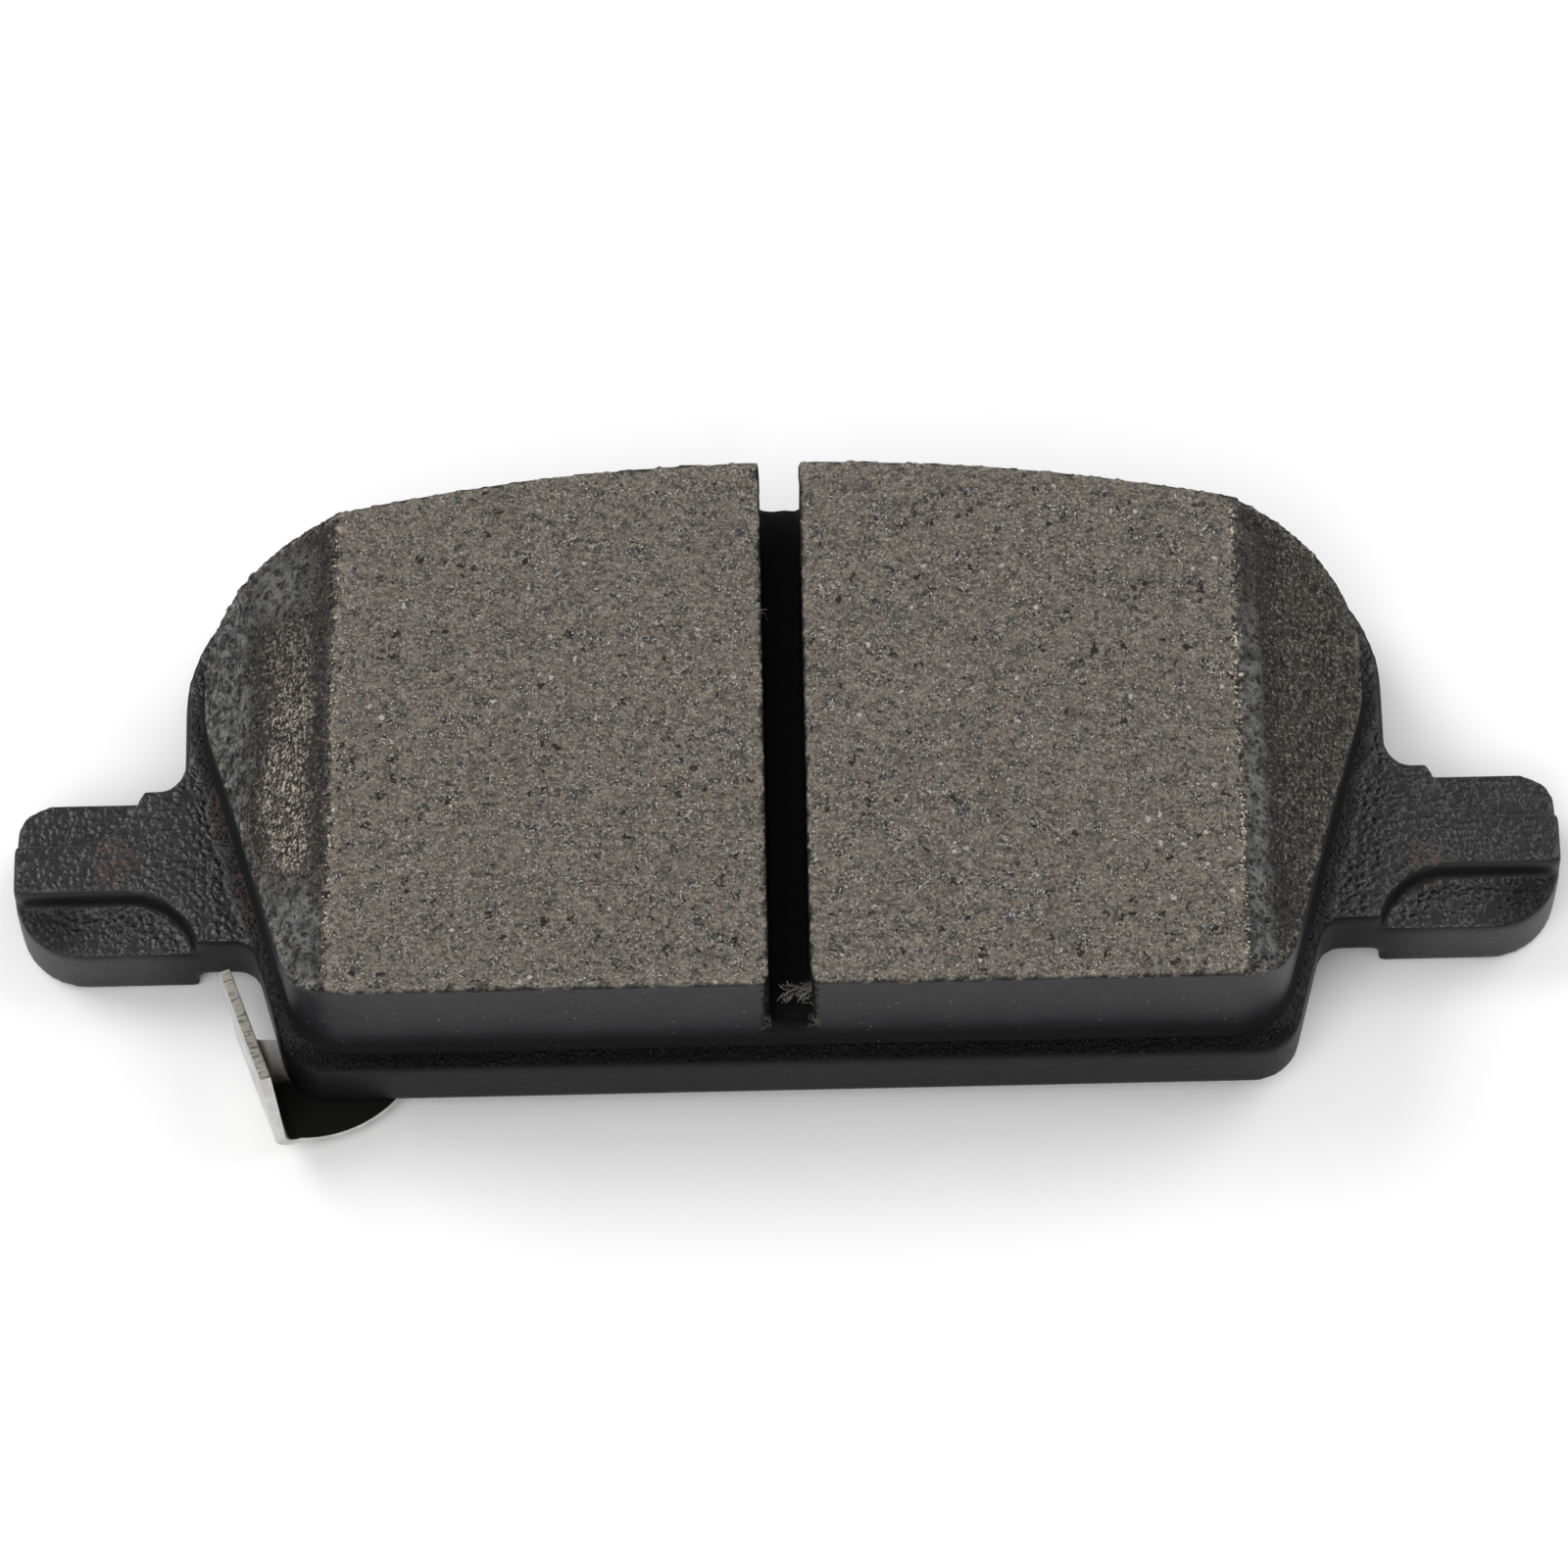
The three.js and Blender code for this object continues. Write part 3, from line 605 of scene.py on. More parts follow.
@dataclass(frozen=True)
class BareSteel:
    """Bare cold-rolled strip: fine rolling lines, a little oil staining and brighter worn spots."""

    name: str
    tone: Colour = (0.63, 0.63, 0.62)
    stain: Colour = (0.30, 0.28, 0.245)
    rolled: Colour = (0.62, 0.61, 0.59)
    freckle: Colour = (0.10, 0.085, 0.07)
    sheared: Colour = (0.29, 0.27, 0.23)
    notch: Colour = (0.07, 0.065, 0.055)
    oiled: Colour = (0.20, 0.18, 0.14)
    # The painted shadow on the tongue, by the plate's bottom edge.
    painted_tongue_shadow: Colour = (0.006, 0.006, 0.0055)
    metallic: float = 0.92
    rough: float = 0.34
    turn: float = 0.0
    # Whether the strip gets its sheared-edge marks and the painted shadow on its tongue.
    sheared_edge_and_tongue_shadow: bool = False

    def build(self) -> bpy.types.Material:
        """Makes the steel.

        Returns:
            The material.
        """
        graph = Graph(self.name)
        lines = graph.grain(1.0, 4.0, 0.65, 0.0, graph.stretched((0.6, 9.0, 9.0), self.turn))
        cross = graph.grain(1.0, 2.0, 0.6, 0.0, graph.stretched((7.0, 1.4, 0.8), self.turn))
        clouds = graph.grain(0.45, 4.0, 0.6)
        colour = graph.blend(clouds.ease(0.35, 0.7) * 0.55, self.tone, self.stain)
        colour = graph.blend(lines.ease(0.4, 0.7) * 0.35, colour, self.rolled)
        freckles = graph.grain(3.2, 3.0, 0.7).ease(0.62, 0.74)
        colour = graph.blend(freckles * 0.35, colour, self.freckle)
        rough = self.rough + clouds * 0.14 + lines * 0.08
        height = lines * 0.010 + cross * 0.016 + clouds * 0.01
        if not self.sheared_edge_and_tongue_shadow:
            return graph.dress(
                base_color=colour, roughness=rough, metallic=self.metallic, normal=graph.relief(height))
        sheared = graph.facing().ease(0.5, 0.7) * graph.z.ease(7.4, 7.9)
        notches = graph.grain(1.0, 3.0, 0.7, 0.0, graph.stretched((0.8, 3.6, 1.0), -self.turn))
        colour = graph.blend(sheared * 0.80, colour, self.sheared)
        colour = graph.blend(sheared * notches.ease(0.50, 0.38) * 0.70, colour, self.notch)
        height = height + sheared * notches * 0.06
        edge = (graph.grain(1.4, 4.0, 0.7) - 0.5) * 1.6
        tongue = graph.facing().ease(0.35, 0.65) * graph.z.ease(2.4, 1.9)
        # Painted shadow: the tongue's upward face turns near-black towards the bottom, where the plate shades
        # it.
        painted = tongue * (graph.y + edge).ease(-18.6, -20.4)
        colour = graph.blend(tongue * 0.55, colour, self.oiled)
        colour = graph.blend(painted, colour, self.painted_tongue_shadow)
        rough = rough + painted * 0.22 + sheared * 0.16
        metal = self.metallic * (1.0 - painted)
        steel = graph.dress(base_color=colour, roughness=rough, metallic=metal, normal=graph.relief(height))
        graph.dull(painted * 0.92)
        return steel


@dataclass(frozen=True)
class ShimRubber:
    """Thin nitrile coat on the shim's steel: matt black, finely mottled, with faint scuffs."""

    name: str
    black: Colour = (0.022, 0.022, 0.023)
    mottled: Colour = (0.032, 0.032, 0.034)
    scuff: Colour = (0.062, 0.061, 0.060)

    def build(self) -> bpy.types.Material:
        """Makes the coat.

        Returns:
            The material.
        """
        graph = Graph(self.name)
        mottle = graph.grain(1.6, 4.0, 0.65)
        drag = graph.grain(1.0, 4.0, 0.6, 0.0, graph.stretched((0.25, 6.0, 1.0), 14.0))
        rubbed = drag.ease(0.60, 0.72) * graph.grain(0.12, 3.0).ease(0.48, 0.62)
        colour = graph.blend(mottle.ease(0.4, 0.7) * 0.3, self.black, self.mottled)
        colour = graph.blend(rubbed * 0.5, colour, self.scuff)
        rough = 0.62 + mottle * 0.18
        height = graph.grain(5.0, 3.0, 0.7) * 0.012 + mottle * 0.01
        return graph.dress(base_color=colour, roughness=rough, normal=graph.relief(height))


@dataclass(frozen=True)
class BondFilm:
    """A thin line of glue: amber to dark brown, a little glossy, uneven."""

    name: str
    pale: Colour = (0.075, 0.058, 0.040)
    dark: Colour = (0.022, 0.018, 0.015)

    def build(self) -> bpy.types.Material:
        """Makes the glue.

        Returns:
            The material.
        """
        graph = Graph(self.name)
        clouds = graph.grain(0.7, 4.0, 0.65)
        beads = graph.grain(3.0, 3.0, 0.6)
        colour = graph.blend(clouds.ease(0.35, 0.65), self.dark, self.pale)
        rough = 0.36 + beads * 0.2
        return graph.dress(base_color=colour, roughness=rough, normal=graph.relief(beads * 0.03))


@dataclass(frozen=True)
class PaleFloor:
    """The plain pale floor that the pad lies on."""

    tone: Colour = (0.93, 0.93, 0.93)
    patch: Colour = (0.945, 0.945, 0.943)

    def build(self) -> bpy.types.Material:
        """Makes the floor's matt paint.

        Returns:
            The material.
        """
        graph = Graph("pale_floor")
        colour = graph.blend(graph.grain(0.004, 2.0), self.tone, self.patch)
        return graph.dress(base_color=colour, roughness=0.9)


# ---------------------------------------------------------------- shaping helpers


class Outline:
    """Runs of plan points, in millimetres."""

    ARC_STEP = math.radians(4.0)

    @classmethod
    def arc(cls, x: float, y: float, radius: float, start: float, end: float) -> list[Point]:
        """Points along an arc, both ends included.

        Args:
            x: the centre's place along X.
            y: the centre's place along Y.
            radius: the arc's radius.
            start: the angle of its first point.
            end: the angle of its last point.

        Returns:
            The points.
        """
        steps = max(2, math.ceil(abs(end - start) / cls.ARC_STEP))
        angles = [start + (end - start) * i / steps for i in range(steps + 1)]
        return [(x + radius * math.cos(a), y + radius * math.sin(a)) for a in angles]

    @classmethod
    def rounded(cls, corners: Sequence[tuple[float, float, float]]) -> list[Point]:
        """An open run of corners (x, y, radius), each rounded by its radius.

        Args:
            corners: the corners in order; a radius of 0 keeps a corner sharp.

        Returns:
            The points.
        """
        spots = [Vector((x, y)) for x, y, _ in corners]
        run: list[Point] = []
        for i, (x, y, radius) in enumerate(corners):
            if not radius:
                run.append((x, y))
                continue
            back = (spots[i - 1] - spots[i]).normalized()
            ahead = (spots[i + 1] - spots[i]).normalized()
            half = math.acos(max(-1.0, min(1.0, back.dot(ahead)))) / 2
            centre = spots[i] + (back + ahead).normalized() * (radius / math.sin(half))
            entry = spots[i] + back * (radius / math.tan(half)) - centre
            leave = spots[i] + ahead * (radius / math.tan(half)) - centre
            start = math.atan2(entry.y, entry.x)
            turn = (math.atan2(leave.y, leave.x) - start + math.pi) % math.tau - math.pi
            run += cls.arc(centre.x, centre.y, radius, start, start + turn)
        return run

    @staticmethod
    def shoulder_centre(half_width: float, top: float, arc_radius: float, corner: float) -> Point:
        """The centre of the arc that rounds a shoulder between an upright side and a top arc."""
        x = half_width - corner
        return x, top - arc_radius + math.sqrt((arc_radius - corner) ** 2 - x * x)

    @classmethod
    def crown(cls, half_width: float, top: float, arc_radius: float, corner: float) -> list[Point]:
        """The rounded shoulder and the right half of the top arc, from the upright side to the middle.

        Args:
            half_width: the upright side's place along X.
            top: the height of the top arc's middle.
            arc_radius: the top arc's radius.
            corner: the shoulder's radius.

        Returns:
            The points.
        """
        x, y = cls.shoulder_centre(half_width, top, arc_radius, corner)
        meet = math.atan2(y - top + arc_radius, x)
        shoulder = cls.arc(x, y, corner, 0.0, meet)
        steps = 20
        angles = [meet + (math.pi / 2 - meet) * (i + 1) / steps for i in range(steps)]
        roof = [(arc_radius * math.cos(a), top - arc_radius + arc_radius * math.sin(a)) for a in angles]
        return shoulder + roof

    @staticmethod
    def mirrored(right: Sequence[Point]) -> list[Point]:
        """A right-hand outline that starts and ends on the middle line, with its mirror image."""
        return [*right, *[(-x, y) for x, y in reversed(right[1:-1])]]


class Shaper:
    """A bmesh in millimetres that becomes a finished piece."""

    def __init__(self) -> None:
        """Starts with nothing."""
        self.bm = bmesh.new()

    @classmethod
    def reopen(cls, piece: bpy.types.Object) -> Shaper:
        """Takes a piece that was made earlier apart again, back in millimetres, and removes it.

        Args:
            piece: the piece.

        Returns:
            Its mesh, ready to be shaped.
        """
        shaper = cls()
        shaper.bm.from_mesh(piece.data)
        bpy.data.objects.remove(piece)
        bmesh.ops.scale(shaper.bm, vec=(1 / MILLIMETRE,) * 3, verts=shaper.bm.verts)
        return shaper

    def face(self, points: Iterable[Point], level: float) -> bmesh.types.BMFace:
        """A flat face from plan points at a level."""
        spots = [self.bm.verts.new((x, y, level)) for x, y in points]
        return self.bm.faces.new(spots)

    def pull(self, faces: Iterable[bmesh.types.BMFace], move: Sequence[float]) -> list[bmesh.types.BMFace]:
        """Extrudes faces.

        Args:
            faces: the faces to extrude.
            move: how far along each axis, in millimetres.

        Returns:
            The faces in their new place.
        """
        region = list(faces)
        rims = dict.fromkeys(edge for item in region for edge in item.edges)
        made = bmesh.ops.extrude_face_region(self.bm, geom=[*region, *rims])["geom"]
        verts = [item for item in made if isinstance(item, bmesh.types.BMVert)]
        bmesh.ops.translate(self.bm, verts=verts, vec=move)
        return [item for item in made if isinstance(item, bmesh.types.BMFace)]

    def merge(self, reach: float = 1e-4) -> None:
        """Merges points nearer than reach."""
        bmesh.ops.remove_doubles(self.bm, verts=self.bm.verts, dist=reach)

    def outward(self) -> None:
        """Turns every face outwards."""
        bmesh.ops.recalc_face_normals(self.bm, faces=self.bm.faces)

    def round_edges(self, wanted: Callable[[bmesh.types.BMEdge], bool], width: float, segments: int) -> None:
        """Rounds the edges that a test picks.

        Args:
            wanted: says whether an edge is rounded.
            width: how far the rounding reaches from the edge.
            segments: the steps across it.
        """
        edges = [edge for edge in self.bm.edges if wanted(edge)]
        bmesh.ops.bevel(
            self.bm, geom=edges, offset=width, offset_type="OFFSET", segments=segments, profile=0.5,
            affect="EDGES", material=-1, clamp_overlap=True, loop_slide=True)

    def soften(self, factor: float, times: int) -> None:
        """Evens out every point towards its neighbours, a number of times."""
        for _ in range(times):
            bmesh.ops.smooth_vert(
                self.bm, verts=self.bm.verts, factor=factor, use_axis_x=True, use_axis_y=True, use_axis_z=True)

    def slice_levels(self, levels: Iterable[float]) -> None:
        """Cuts edge rings into the mesh.

        Args:
            levels: where they are cut, along Z.
        """
        for level in levels:
            geom = [*self.bm.verts, *self.bm.edges, *self.bm.faces]
            bmesh.ops.bisect_plane(self.bm, geom=geom, plane_co=(0, 0, level), plane_no=(0, 0, 1))

    def finish(self, name: str, material: bpy.types.Material, crease: float = 40.0) -> bpy.types.Object:
        """Makes the piece, in metres, with its place in its mesh.

        Args:
            name: the piece's name.
            material: what it is dressed in.
            crease: edges that turn by more degrees than this are shaded sharp.

        Returns:
            The object, linked to the scene.
        """
        for item in self.bm.faces:
            item.smooth = True
        self.bm.normal_update()
        for edge in self.bm.edges:
            turn = edge.calc_face_angle(0.0)
            edge.smooth = turn < math.radians(crease)
        bmesh.ops.scale(self.bm, vec=(MILLIMETRE,) * 3, verts=self.bm.verts)
        mesh = bpy.data.meshes.new(name)
        self.bm.to_mesh(mesh)
        self.bm.free()
        mesh.materials.append(material)
        piece = bpy.data.objects.new(name, mesh)
        bpy.context.scene.collection.objects.link(piece)
        return piece


def prism(points: Sequence[Point], low: float, high: float, shift: float,
          shaper: Shaper | None = None) -> Shaper:
    """A plan outline raised from one level to another.

    Args:
        points: the outline, anticlockwise.
        low: the lower level.
        high: the upper level.
        shift: added to every point's Y.
        shaper: where it is added, or None for a new one.

    Returns:
        The shaped solid.
    """
    shaper = shaper or Shaper()
    bottom = shaper.face([(x, y + shift) for x, y in points], low)
    shaper.pull([bottom], (0, 0, high - low))
    shaper.outward()
    return shaper


def cylinder(place: Sequence[float], radius: float, depth: float, segments: int = 48) -> Shaper:
    """An upright cylinder.

    Args:
        place: its middle.
        radius: its radius.
        depth: its height.
        segments: the flat faces around it.

    Returns:
        The shaped solid.
    """
    shaper = Shaper()
    bmesh.ops.create_cone(
        shaper.bm, cap_ends=True, segments=segments, radius1=radius, radius2=radius, depth=depth,
        matrix=Matrix.Translation(place))
    return shaper


def settle_modifiers(piece: bpy.types.Object) -> None:
    """Bakes modifiers into a mesh.

    Args:
        piece: the piece that has them.
    """
    depsgraph = bpy.context.evaluated_depsgraph_get()
    settled = bpy.data.meshes.new_from_object(piece.evaluated_get(depsgraph))
    name = piece.data.name
    old = piece.data
    piece.modifiers.clear()
    piece.data = settled
    bpy.data.meshes.remove(old)
    settled.name = name


def mesh_evenly(piece: bpy.types.Object, size: float) -> None:
    """Joins what overlaps in a piece into one skin of even squares.

    Args:
        piece: the piece, which may be several closed solids.
        size: the squares' width, in millimetres.
    """
    even = piece.modifiers.new("even", "REMESH")
    even.mode = "VOXEL"
    even.voxel_size = size * MILLIMETRE
    settle_modifiers(piece)


def carve(piece: bpy.types.Object, cutters: Sequence[Shaper]) -> None:
    """Cuts solids out of a piece and throws the cutters away.

    Args:
        piece: the piece to cut.
        cutters: the solids to take out of it.
    """
    solids = [cutter.finish("cutter", piece.data.materials[0]) for cutter in cutters]
    for solid in solids:
        cut = piece.modifiers.new("cut", "BOOLEAN")
        cut.operation = "DIFFERENCE"
        cut.solver = "EXACT"
        cut.object = solid
    settle_modifiers(piece)
    for solid in solids:
        bpy.data.objects.remove(solid)


def even_shading(piece: bpy.types.Object) -> None:
    """Keeps broad flat faces flat beside their rounded edges.

    Args:
        piece: the piece that is shaded.
    """
    weighted = piece.modifiers.new("even_shading", "WEIGHTED_NORMAL")
    weighted.keep_sharp = True
    weighted.weight = 80


def hand_over(piece: bpy.types.Object, slot: str, *nodes: str) -> None:
    """Puts a piece on the pad's body and hides the frame's nodes that it replaces.

    Args:
        piece: the finished piece.
        slot: not used.
        nodes: the frame's nodes that it replaces.
    """
    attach(piece, BODY)
    if nodes:
        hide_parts(*nodes)
    log.info("%s: %d faces", piece.name, len(piece.data.polygons))


# ---------------------------------------------------------------- sub-assemblies


@dataclass
class Plate:
    """The stamped steel backing plate with its two stepped ears."""

    height: float = 43.6
    half_body: float = 43.0
    top_arc: float = 150.0
    shoulder: float = 11.5
    side_lean: float = math.radians(14.8)
    side_inset: float = 5.0
    foot_radius: float = 3.4
    neck_radius: float = 1.8
    high_neck_radius: float = 2.0
    low_corner: float = 5.0
    high_corner: float = 2.6
    ear_tip: float = 55.1
    ear_low: float = 10.1
    ear_high: float = 22.2
    band_low: float = 14.15
    band_high: float = 18.15
    ear_step: float = 2.1
    flare: float = 5.0
    low_flare_x: float = 47.0
    high_flare_x: float = 51.0
    back: float = 0.8
    front: float = 6.3
    key_radius: float = 5.0
    key_spread: float = 22.0
    key_height: float = 24.0
    voxel: float = 0.35
    softening: int = 3
    pebble_pitch: float = 1.0
    pebble_rise: float = 0.035
    rivet_hole: float = 2.1

    def side_at(self, height: float) -> float:
        """Half-width of the plate at a height on its leaning lower side."""
        return self.half_body - self.side_inset - (self.ear_low - height) * math.tan(self.side_lean)

    def _runs(self) -> tuple[list[Point], ...]:
        """The right ear's outline in parts, and the two step curves between them.

        Returns:
            The run below the ear, the low area's rim, the tip of the band, the high area's rim, the low step's
            curve from the ear's lower edge to its tip, and the high step's curve from the tip to the top edge.
        """
        drop = self.band_low - self.flare
        low_meet = self.low_flare_x - math.sqrt(self.flare ** 2 - (self.ear_low - drop) ** 2)
        rise = self.band_high + self.flare
        high_meet = self.high_flare_x - math.sqrt(self.flare ** 2 - (rise - self.ear_high) ** 2)
        below = Outline.rounded([
            (0, 0, 0), (self.side_at(0), 0, self.foot_radius),
            (self.side_at(self.ear_low), self.ear_low, self.neck_radius), (low_meet, self.ear_low, 0)])
        low_rim = Outline.rounded([
            (low_meet, self.ear_low, 0), (self.ear_tip, self.ear_low, self.low_corner),
            (self.ear_tip, self.band_low, 0)])
        tip = [(self.ear_tip, self.band_low), (self.ear_tip, self.band_high)]
        high_rim = Outline.rounded([
            (self.ear_tip, self.band_high, 0), (self.ear_tip, self.ear_high, self.high_corner),
            (high_meet, self.ear_high, 0)])
        start = math.pi - math.asin((self.ear_low - drop) / self.flare)
        low_curve = Outline.arc(self.low_flare_x, drop, self.flare, start, math.pi / 2)
        low_curve.append((self.ear_tip, self.band_low))
        end = math.pi + math.asin((rise - self.ear_high) / self.flare)
        high_curve = [(self.ear_tip, self.band_high)]
        high_curve += Outline.arc(self.high_flare_x, rise, self.flare, 1.5 * math.pi, end)
        return below, low_rim, tip, high_rim, low_curve, high_curve

    def _regions(self) -> tuple[list[Point], list[list[Point]]]:
        """The plan in its two levels.

        Returns:
            The outline of the raised part, and those of the four areas that are set back.
        """
        below, low_rim, tip, high_rim, low_curve, high_curve = self._runs()
        above = Outline.rounded([
            (high_curve[-1][0], self.ear_high, 0), (self.half_body, self.ear_high, self.high_neck_radius),
            (self.half_body, self.height, 0)])[:-1]
        above += Outline.crown(self.half_body, self.height, self.top_arc, self.shoulder)
        right = [*below, *low_curve[1:], *tip[1:], *high_curve[1:], *above[1:]]
        low_area = [*low_rim, *reversed(low_curve[1:-1])]
        high_area = [*high_rim, *reversed(high_curve[1:-1])]
        areas = [low_area, high_area]
        areas += [[(-x, y) for x, y in reversed(area)] for area in areas]
        return Outline.mirrored(right), areas

    def build(self, paint: bpy.types.Material, rivet: Point) -> bpy.types.Object:
        """Makes the plate.

        Args:
            paint: its paint.
            rivet: the place of the rivet's hole in the pad's frame.

        Returns:
            The finished piece.
        """
        raised, set_back = self._regions()
        shift = -self.height / 2
        middle = prism(raised, self.back, self.front, shift).finish("plate", paint)
        carve(middle, self._drills(rivet))
        shaper = Shaper.reopen(middle)
        for area in set_back:
            prism(area, self.back - self.ear_step, self.front - self.ear_step, shift, shaper)
        piece = shaper.finish("plate", paint)
        mesh_evenly(piece, self.voxel)
        shaper = Shaper.reopen(piece)
        shaper.soften(0.5, self.softening)
        self._raise_pebbles(shaper)
        piece = shaper.finish("plate", paint, crease=80.0)
        hand_over(piece, "plate_paint", "backing_plate")
        return piece

    def _raise_pebbles(self, shaper: Shaper) -> None:
        """Makes the front faces slightly uneven, as blasted steel is under thick paint.

        Args:
            shaper: the plate's even mesh.
        """
        shaper.bm.normal_update()
        front = [vert for vert in shaper.bm.verts if vert.normal.z > 0.8]
        for vert in front:
            vert.co.z += noise.noise(vert.co * self.pebble_pitch) * self.pebble_rise

    def _drills(self, rivet: Point) -> list[Shaper]:
        """Solids for the two key holes and the rivet's hole.

        Args:
            rivet: the place of the rivet's hole.

        Returns:
            The solids, which pass right through the plate.
        """
        through = 30.0
        key_y = self.key_height - self.height / 2
        keys = [cylinder((side * self.key_spread, key_y, 0), self.key_radius, through) for side in (1, -1)]
        return [*keys, cylinder((*rivet, 0), self.rivet_hole, through)]


@dataclass
class Block:
    """The moulded block: the friction lining and the underlayer it is moulded on."""

    plate: Plate
    half_width: float = 41.35
    foot: float = 1.6
    top: float = 42.5
    top_arc: float = 148.9
    corner: float = 9.6
    foot_corner: float = 4.5
    hip_radius: float = 8.0
    upright: float = 3.3
    lower_margin: float = 1.35
    underlayer_back: float = 6.4
    back: float = 8.0
    face: float = 16.4
    toe: float = 9.6
    slot_half: float = 1.45
    slot_floor: float = 8.9
    fillet_reach: float = 0.38
    fillet_rise: float = 1.1
    left_start: Point = (31.35, 32.15)
    right_start: Point = (32.2, 31.65)
    voxel: float = 0.27
    ground_depth: float = 0.14
    wall_reach: float = 0.12

    @property
    def chamfer_slope(self) -> float:
        """How much the chamfers fall for each millimetre outwards."""
        return (self.face - self.toe) / (self.half_width - CHAMFER_START)

    def outline(self) -> list[Point]:
        """The block's plan.

        Returns:
            The outline, with heights counted from the plate's bottom edge.
        """
        centre = Outline.shoulder_centre(self.half_width, self.top, self.top_arc, self.corner)
        right = Outline.rounded([
            (0, self.foot, 0),
            (self.plate.side_at(self.foot) - self.lower_margin, self.foot, self.foot_corner),
            (self.half_width, centre[1] - self.upright, self.hip_radius),
            (self.half_width, self.top, 0)])[:-1]
        right += Outline.crown(self.half_width, self.top, self.top_arc, self.corner)
        return Outline.mirrored(right)

    def start_at(self, x: float, y: float) -> float:
        """Where a chamfer starts.

        Args:
            x: a place on its side of the block.
            y: the height, in the pad's own frame.

        Returns:
            Its start's distance from the middle at that height.
        """
        ends = self.left_start if x < 0 else self.right_start
        share = (self.top - (y + self.plate.height / 2)) / (self.top - self.foot)
        return ends[0] + (ends[1] - ends[0]) * share

    def build_lining(self, compound: bpy.types.Material) -> bpy.types.Object:
        """Makes the friction lining: slot, chamfers, ground faces and broken edges.

        Args:
            compound: its material.

        Returns:
            The finished piece.
        """
        shift = -self.plate.height / 2
        shaper = prism(self.outline(), self.back, self.face, shift)
        for side, ends in ((-1, self.left_start), (1, self.right_start)):
            upper = Vector((side * ends[0], self.top + shift, self.face))
            lower = Vector((side * ends[1], self.foot + shift, self.face))
            out = Vector((side, 0, -self.chamfer_slope))
            normal = (lower - upper).cross(out).normalized()
            normal = normal if normal.z > 0 else -normal
            geom = [*shaper.bm.verts, *shaper.bm.edges, *shaper.bm.faces]
            cut = bmesh.ops.bisect_plane(
                shaper.bm, geom=geom, plane_co=upper, plane_no=normal, clear_outer=True)["geom_cut"]
            rim = [item for item in cut if isinstance(item, bmesh.types.BMEdge)]
            bmesh.ops.holes_fill(shaper.bm, edges=rim)
        shaper.outward()
        piece = shaper.finish("lining", compound)
        length, depth = 80.0, 20.0
        slot = Shaper()
        bmesh.ops.create_cube(slot.bm, size=1.0)
        bmesh.ops.scale(slot.bm, vec=(2 * self.slot_half, length, depth), verts=slot.bm.verts)
        bmesh.ops.translate(slot.bm, vec=(0, 0, self.slot_floor + depth / 2), verts=slot.bm.verts)
        carve(piece, [slot])
        mesh_evenly(piece, self.voxel)
        piece = self._weather(piece, compound)
        hand_over(piece, "friction_compound", "friction_lining")
        return piece

    def _weather(self, piece: bpy.types.Object, compound: bpy.types.Material) -> bpy.types.Object:
        """Paints the marks on the lining's points and breaks up its ground faces and edges.

        Args:
            piece: the evenly meshed lining, in metres.
            compound: its material.

        Returns:
            The weathered piece.
        """
        shaper = Shaper.reopen(piece)
        bm = shaper.bm
        shaper.soften(0.4, 1)
        bm.normal_update()
        layers = {mark: bm.verts.layers.float.new(mark.value) for mark in LiningMark}
        ground: list[bmesh.types.BMVert] = []
        others: list[bmesh.types.BMVert] = []
        for vert in bm.verts:
            x, y, z = vert.co
            start = self.start_at(x, y)
            roof = self.face - max(0.0, abs(x) - start) * self.chamfer_slope
            on_roof = z > roof - self.ground_depth
            along = Vector((x * 0.4, y, 0.0))
            wander = noise.noise(along * 0.9) * 0.30 + noise.noise(along * 2.6) * 0.22
            torn = max(0.0, noise.noise(Vector((x, y, 5.0)) * 1.5) + 0.10) * 0.9
            if on_roof and abs(x) <= start + self.wall_reach + wander:
                vert[layers[LiningMark.FACE]] = 1.0
            elif on_roof:
                vert[layers[LiningMark.CHAMFER]] = 1.0
            elif abs(x) < self.slot_half + self.wall_reach:
                vert[layers[LiningMark.SLOT]] = 1.0
            elif z > roof - torn:
                vert[layers[LiningMark.FACE]] = 0.75
            (ground if on_roof else others).append(vert)
        tree = kdtree.KDTree(len(others))
        for i, vert in enumerate(others):
            tree.insert(vert.co, i)
        tree.balance()
        moves: list[tuple[bmesh.types.BMVert, Vector]] = []
        for vert in ground:
            rim = max(0.0, 1.0 - tree.find(vert.co)[2] / 0.9)
            crest = abs(abs(vert.co.x) - self.start_at(vert.co.x, vert.co.y))
            rim = max(rim, max(0.0, 1.0 - crest / 0.7) * 0.8)
            vert[layers[LiningMark.RIM]] = rim
            moves.append((vert, self._ground_move(vert, rim, vert[layers[LiningMark.CHAMFER]])))
        for vert in others:
            moves.append((vert, self._wall_move(vert)))
        for vert, move in moves:
            vert.co += move
        self._square_back(shaper)
        return shaper.finish("lining", compound, crease=80.0)

    def _square_back(self, shaper: Shaper) -> None:
        """Gives the lining a flat back with a square edge, so that its walls run on into the underlayer.

        Args:
            shaper: the lining's mesh.
        """
        bm = shaper.bm
        cut = bmesh.ops.bisect_plane(
            bm, geom=[*bm.verts, *bm.edges, *bm.faces], plane_co=(0, 0, self.back + 0.4), plane_no=(0, 0, 1),
            clear_inner=True)["geom_cut"]
        rim = [item for item in cut if isinstance(item, bmesh.types.BMEdge)]
        skirt = bmesh.ops.extrude_edge_only(bm, edges=rim)["geom"]
        for item in skirt:
            if isinstance(item, bmesh.types.BMVert):
                item.co.z = self.back
        foot = [item for item in skirt if isinstance(item, bmesh.types.BMEdge)]
        bmesh.ops.holes_fill(bm, edges=foot)
        shaper.outward()

